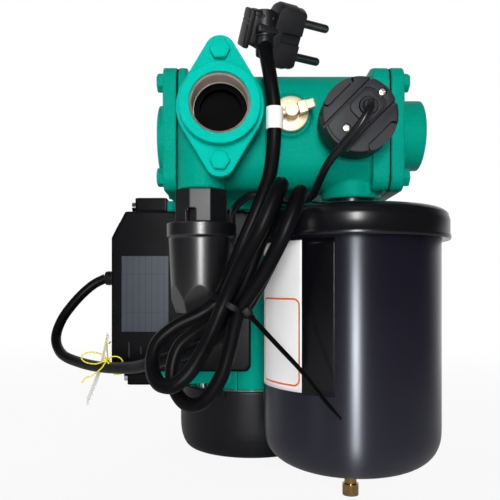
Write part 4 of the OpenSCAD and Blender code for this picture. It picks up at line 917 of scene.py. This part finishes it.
# rating plate and ribs on the terminal box, bare of any words
boxPlate = {"size": (34.5, 55.6, 0.5), "place": (-78.25, -65.35, 124.8), "rounding": 0.15}
plate = roundBlock(boxPlate["size"], rounding=boxPlate["rounding"], steps=2)
dressed(facedFront(plate, boxPlate["place"]), "ratingPlate", "ratingPlate", "shield_alloy")
boxRibs = {"face": -65.4, "ribs": [(-90, 78, 89.5), (-81.3, 80.6, 86.5)], "width": 1.6, "proud": 1.4, "rounding": 0.45}
ribs = []
for across, low, high in boxRibs["ribs"]:
    place = (across, boxRibs["face"], (low + high) / 2)
    ribs.append(roundBlock((boxRibs["width"], boxRibs["proud"], high - low), place, boxRibs["rounding"]))
dressed(joined(ribs), "boxRibs", "blackMoulding", "black_cover")
print("stage: terminal box fitted out")

# angled two-pin plug with the sleeve of its lead; blocks as size, place, rounding, steps and turn
mainsPlug = {
    "face": (24.7, -155, 275.8), "turn": (30, 4, 22), "flat": 8.5, "exit": (6, -166, 271), "edge": 0.7,
    "body": [(11, -17), (14.6, -16.6), (16.8, -15.6), (17.8, -14.2), (17.8, -5.2), (17.1, -4.8), (17.1, -1),
             (16.7, -0.3), (16, 0)],
    "groove": {"size": (13, 3.2, 5.6), "middle": -5.5},
    "waist": ((14, 12, 17), (-23, 0, 0), 2, 4),
    "ribs": (-19, -22, -25), "rib": (1.4, 13.4, 18.6),
    "grip": ((3.6, 12, 21), (-31, 0, 0), 1.2, 4),
    "gripCuts": [((1.4, 24, 1.1), (-33, 0, up), 0.2, 2) for up in (2.5, 5)],
    "hump": ((7, 11, 5), (-27, 0, 8.4), 2.2, 4),
    "pinCollar": [(4.1, -1), (4.1, 0.7), (3.7, 1.1), (2.6, 1.1)], "pinOffset": 9.5,
    "sleeve": [(4.3, -9), (4.9, -8.6), (5.0, -5.6), (4.7, -5.2), (4.7, -4.2), (5.3, -3.8), (5.4, -0.8), (5.1, -0.4),
               (5.1, 0.6), (5.8, 1), (6, 5), (7, 9), (7, 15)],
    "collar": ((12.4, 12.4, 5.2), (6, -166, 275.5), 1.6, 4, (0, 0, 22)),
}


def makePlug(look):
    body = grown(look["body"], axis="X")
    for side in (1, -1):
        sliced(body, (0, side * look["flat"], 0), (0, side, 0))
    for side in (1, -1):
        carved(body, roundBlock(look["groove"]["size"], (look["groove"]["middle"], side * look["flat"], 0), 0.5, 2))
    bevelled(body, look["edge"], degrees=38)
    parts = [body, roundBlock(*look["waist"])]
    parts += [roundBlock(look["rib"], (across, 0, 0)) for across in look["ribs"]]
    grip = roundBlock(*look["grip"])
    for cut in look["gripCuts"]:
        carved(grip, roundBlock(*cut))
    parts += [grip, roundBlock(*look["hump"])]
    parts += [grown(look["pinCollar"], (0, 0, side * look["pinOffset"]), "X", 32) for side in (1, -1)]
    head = placed(joined(parts), look["face"], look["turn"])
    sleeve = grown(look["sleeve"], look["exit"], sides=40)
    plug = smoothed(joined([head, sleeve, roundBlock(*look["collar"])]))
    return dressed(plug, "mainsPlug", "plugMoulding", "black_cover", ["cord_plug"])


plugPiece = makePlug(mainsPlug)
print("stage: plug made")

# cable tie: band round the bundle, ratchet head and a thin tail
cableTie = {
    "centre": (-12, -184, 120), "tilt": 30, "radius": 13.3, "thick": 1.2, "width": 3.4, "edge": 0.3,
    "head": ((5.6, 4.2, 5.2), (-4, -197, 117), 0.9, 3, (0, 50, 0)),
    "tail": {"route": [(-4, -197.5, 117), (11, -200, 101), (25, -203, 86), (36, -204.5, 72), (44, -205, 63)],
             "across": (0.55, 0.62, 0.56), "half": 1.3, "thick": 1.0, "narrowing": 0.985,
             "tipNarrowing": 0.8, "tip": 6},
}


def tieTail(look):
    points = smoothRoute(look["route"], 6)
    tail = added(bpy.ops.mesh.primitive_plane_add, size=1)
    across = Vector(look["across"]).normalized() * look["half"]
    corners = [points[0] + across, points[0] - across, points[1] - across, points[1] + across]
    for vertex, corner in zip((0, 1, 3, 2), corners):
        tail.data.vertices[vertex].co = corner * mm
    setMode("EDIT")
    bpy.ops.mesh.select_mode(type="VERT")
    pickAll("DESELECT")
    setMode("OBJECT")
    for index in (2, 3):
        tail.data.vertices[index].select = True
    setMode("EDIT")
    bpy.ops.mesh.select_mode(type="EDGE")
    for count, (before, after) in enumerate(zip(points[1:], points[2:])):
        bpy.ops.mesh.extrude_edges_move(TRANSFORM_OT_translate={"value": (after - before) * mm})
        share = look["narrowing"] if count < len(points) - look["tip"] else look["tipNarrowing"]
        bpy.ops.transform.resize(value=(share, share, share), center_override=after * mm)
    setMode("OBJECT")
    faceOutwards(tail)
    applied(tail, "SOLIDIFY", thickness=look["thick"] * mm, offset=0)
    return tail


def makeTie(look):
    inner, outer, half, edge = look["radius"], look["radius"] + look["thick"], look["width"] / 2, look["edge"]
    band = grown([(inner, -half), (outer - edge, -half), (outer, edge - half), (outer, half - edge),
                  (outer - edge, half), (inner, half), (inner, -half)], closed=False)
    placed(band, look["centre"], (0, look["tilt"], 0))
    tie = joined([band, roundBlock(*look["head"]), tieTail(look["tail"])])
    return dressed(smoothed(faceOutwards(tie), 32), "cableTie", "leadSheath", "black_cover", ["cable_tie"])


tiePiece = makeTie(cableTie)
print("stage: cable tie made")

# curled card tag with a punched hole and a yellow string
hangTag = {
    "centre": (-117, -44.5, 67), "tilt": 17, "turn": 15, "size": (36, 54), "curl": 1.8, "thick": 0.35,
    "hole": {"radius": 2.2, "inset": 5}, "steps": (14, 20),
}


def makeTag(look):
    card = plainGrid(look["steps"])
    width, height = look["size"]
    for vertex in card.data.vertices:
        bow = look["curl"] * (math.cos(math.pi * vertex.co.y) - 0.6)
        vertex.co = inMetres((bow, vertex.co.x * width, vertex.co.y * height))
    applied(card, "SOLIDIFY", thickness=look["thick"] * mm, offset=0)
    radius = look["hole"]["radius"]
    carved(card, grown([(radius, -6), (radius, 6)], (0, 0, height / 2 - look["hole"]["inset"]), "X", 24))
    placed(card, look["centre"], (0, look["tilt"], look["turn"]))
    return dressed(smoothed(card), "hangTag", "cardPaper", "white_plastic", ["hang_tag"])


tagPiece = makeTag(hangTag)
tagString = {
    "diameter": 0.95,
    "runs": [
        [(-100, -80, 76), (-103, -84, 79.5), (-101, -90, 79), (-97, -93, 74.5), (-95.5, -91, 70), (-97, -85, 69),
         (-100, -81, 71.5), (-101.5, -82, 77), (-100, -88, 80), (-97, -92.5, 76.5)],
        [(-100, -89, 79.5), (-105, -91, 83.5), (-112, -91, 84.8), (-118.5, -89, 82.2), (-117, -88, 78),
         (-109, -89, 76.5), (-101, -89.5, 79)],
        [(-101, -89.5, 79), (-104, -92, 74), (-108, -92.5, 70.5), (-112, -91, 68), (-115.5, -89.5, 67),
         (-118.5, -88.5, 63.5)],
        [(-100, -89.5, 79.5), (-96, -92, 82), (-91, -92, 80.8), (-88.6, -92, 76), (-90, -92.5, 70.5),
         (-95, -93.5, 70.2), (-98.5, -92.5, 74)],
        [(-100.5, -88, 79.5), (-104, -75, 84), (-107.5, -60, 87.5), (-109.5, -48, 89), (-111.6, -44.5, 88),
         (-109.4, -44, 86.6), (-107.6, -47, 88)],
    ],
}
stringRuns = []
for count, route in enumerate(tagString["runs"]):
    run = leadCurve("stringRun%d" % count, {"route": route, "diameter": tagString["diameter"]}, 2)[0]
    takeUp(run)
    bpy.ops.object.convert(target="MESH")
    stringRuns.append(bpy.context.object)
stringPiece = smoothed(joined(stringRuns), 60)
dressed(stringPiece, "tagString", "stringYarn", "white_plastic")
print("stage: tag tied on")

# strain relief of the mains lead and grommet of the switch lead
leadGland = {
    "relief": {"place": (-103, 5, 137), "profile": [
        (4.6, 4.5), (4.6, 0), (9, 0), (9, -4.2), (8.4, -5), (7.6, -5.2), (7.4, -7.4), (6.5, -7.7), (6.5, -8.5),
        (7.1, -8.8), (6.9, -11), (6, -11.3), (6, -12.1), (6.6, -12.4), (6.4, -14.6), (5.5, -14.9), (5.5, -15.7),
        (6.1, -16), (5.7, -19.4), (4.9, -20)]},
    "grommet": {"place": (-20, -65, 158), "profile": [
        (3.2, -3.4), (3.2, 0), (4.6, 0), (4.7, 0.4), (4.6, 2.4), (3.9, 4.4), (3.5, 6.6), (3, 7)]},
}
relief = grown(leadGland["relief"]["profile"], leadGland["relief"]["place"], "X", 48)
grommet = grown(leadGland["grommet"]["profile"], leadGland["grommet"]["place"], "Y", 40)
gland = smoothed(joined([relief, grommet]), 32)
dressed(gland, "leadGland", "blackMoulding", "black_cover", ["cord_gland"])
print("stage: gland made")

# the leads stand for their packed tubes
for curve, node, finishName in (
        (mainsCurve, "power_cord", "leadSheath"), (switchCurve, "switch_lead", "leadGloss")):
    curve.data.materials.append(finish[finishName])
    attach(curve, "pump")
    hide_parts(node)


# pale floor and soft studio light
studio = {
    "floorSize": 8, "floorTone": (238, 238, 238), "floorRoughness": 0.8, "floorFade": (0.25, 1.1), "fadeFrom": 0.9,
    "worldLight": 0.12, "mirroredLess": 0.7, "backSide": (0.2, 0.95),
    # place, what it aims at, size, power, and whether glossy things mirror it
    "lamps": {
        "frontStrip": ((-0.01, -1.45, 0.34), (0, -0.1, 0.16), (0.15, 0.7), 18, True),
        "leftFill": ((-1.0, -0.7, 0.9), (0, -0.1, 0.14), (0.7, 0.7), 2, True),
        "topPanel": ((0.1, 0.0, 1.3), (0, -0.1, 0.1), (1.0, 0.8), 0.4, True),
        "backPanel": ((0.5, 1.3, 0.45), (0, 0, 0.15), (1.0, 0.8), 11, False),
        "sidePanel": ((-1.4, 0.5, 0.45), (0, 0, 0.15), (0.8, 0.8), 7, False),
    },
}


def smoothRange(tree, value, ends, lowest=0):
    feeds = {"Value": value, "From Min": ends[0], "From Max": ends[1], "To Min": lowest}
    return addNode(tree, "ShaderNodeMapRange", feeds, interpolation_type="SMOOTHSTEP").outputs[0]


# white for the camera and through clear things; mirrors see it only at the back
def seenWhite(tree, path, coordKind, backSide):
    behind = smoothRange(tree, splitCoords(tree, coordKind).outputs["Y"], backSide)
    mirrored = mathNode(tree, "MULTIPLY", path.outputs["Is Glossy Ray"], behind)
    seen = mathNode(tree, "MAXIMUM", path.outputs["Is Camera Ray"], path.outputs["Is Transmission Ray"])
    return mathNode(tree, "MAXIMUM", seen, mirrored)


def makeFloor(look):
    floor = added(bpy.ops.mesh.primitive_plane_add, size=look["floorSize"])
    floor.name = "studioFloor"
    material, tree, shader = newMaterial("studioFloorPaint", {})
    fed(tree, shader, {"Base Color": paint(*look["floorTone"]), "Roughness": look["floorRoughness"]})
    glow = addNode(tree, "ShaderNodeEmission", {"Strength": 1})
    seen = seenWhite(tree, addNode(tree, "ShaderNodeLightPath"), "Object", look["backSide"])
    coords = addNode(tree, "ShaderNodeTexCoord").outputs["Object"]
    fade = smoothRange(tree, vectorNode(tree, "LENGTH", coords), look["floorFade"], look["fadeFrom"])
    mix = addNode(tree, "ShaderNodeMixShader", {
        0: mathNode(tree, "MULTIPLY", seen, fade), 1: shader.outputs[0], 2: glow.outputs[0]})
    fed(tree, tree.nodes["Material Output"], {"Surface": mix.outputs[0]})
    floor.data.materials.append(material)


def makeWorld(look):
    world = bpy.data.worlds.new("studioAir")
    scene.world = world
    world.use_nodes = True
    tree = world.node_tree
    path = addNode(tree, "ShaderNodeLightPath")
    seen = seenWhite(tree, path, "Generated", look["backSide"])
    less = mathNode(tree, "MULTIPLY", path.outputs["Is Glossy Ray"], look["mirroredLess"])
    light = mathNode(tree, "MULTIPLY", mathNode(tree, "SUBTRACT", 1, less), look["worldLight"])
    fed(tree, tree.nodes["Background"], {"Color": (1, 1, 1, 1), "Strength": mathNode(tree, "MAXIMUM", seen, light)})


def makeLamp(name, place, aim, size, power, mirrored):
    obj = added(bpy.ops.object.light_add, type="AREA", location=place)
    obj.name = name
    obj.data.shape = "RECTANGLE"
    obj.data.size, obj.data.size_y = size
    obj.data.energy = power
    obj.visible_glossy = mirrored
    obj.rotation_euler = (Vector(aim) - Vector(place)).to_track_quat("-Z", "Y").to_euler()


makeFloor(studio)
makeWorld(studio)
for name, lamp in studio["lamps"].items():
    makeLamp(name, *lamp)
scene.view_settings.view_transform = "Standard"
print("stage: studio lit")
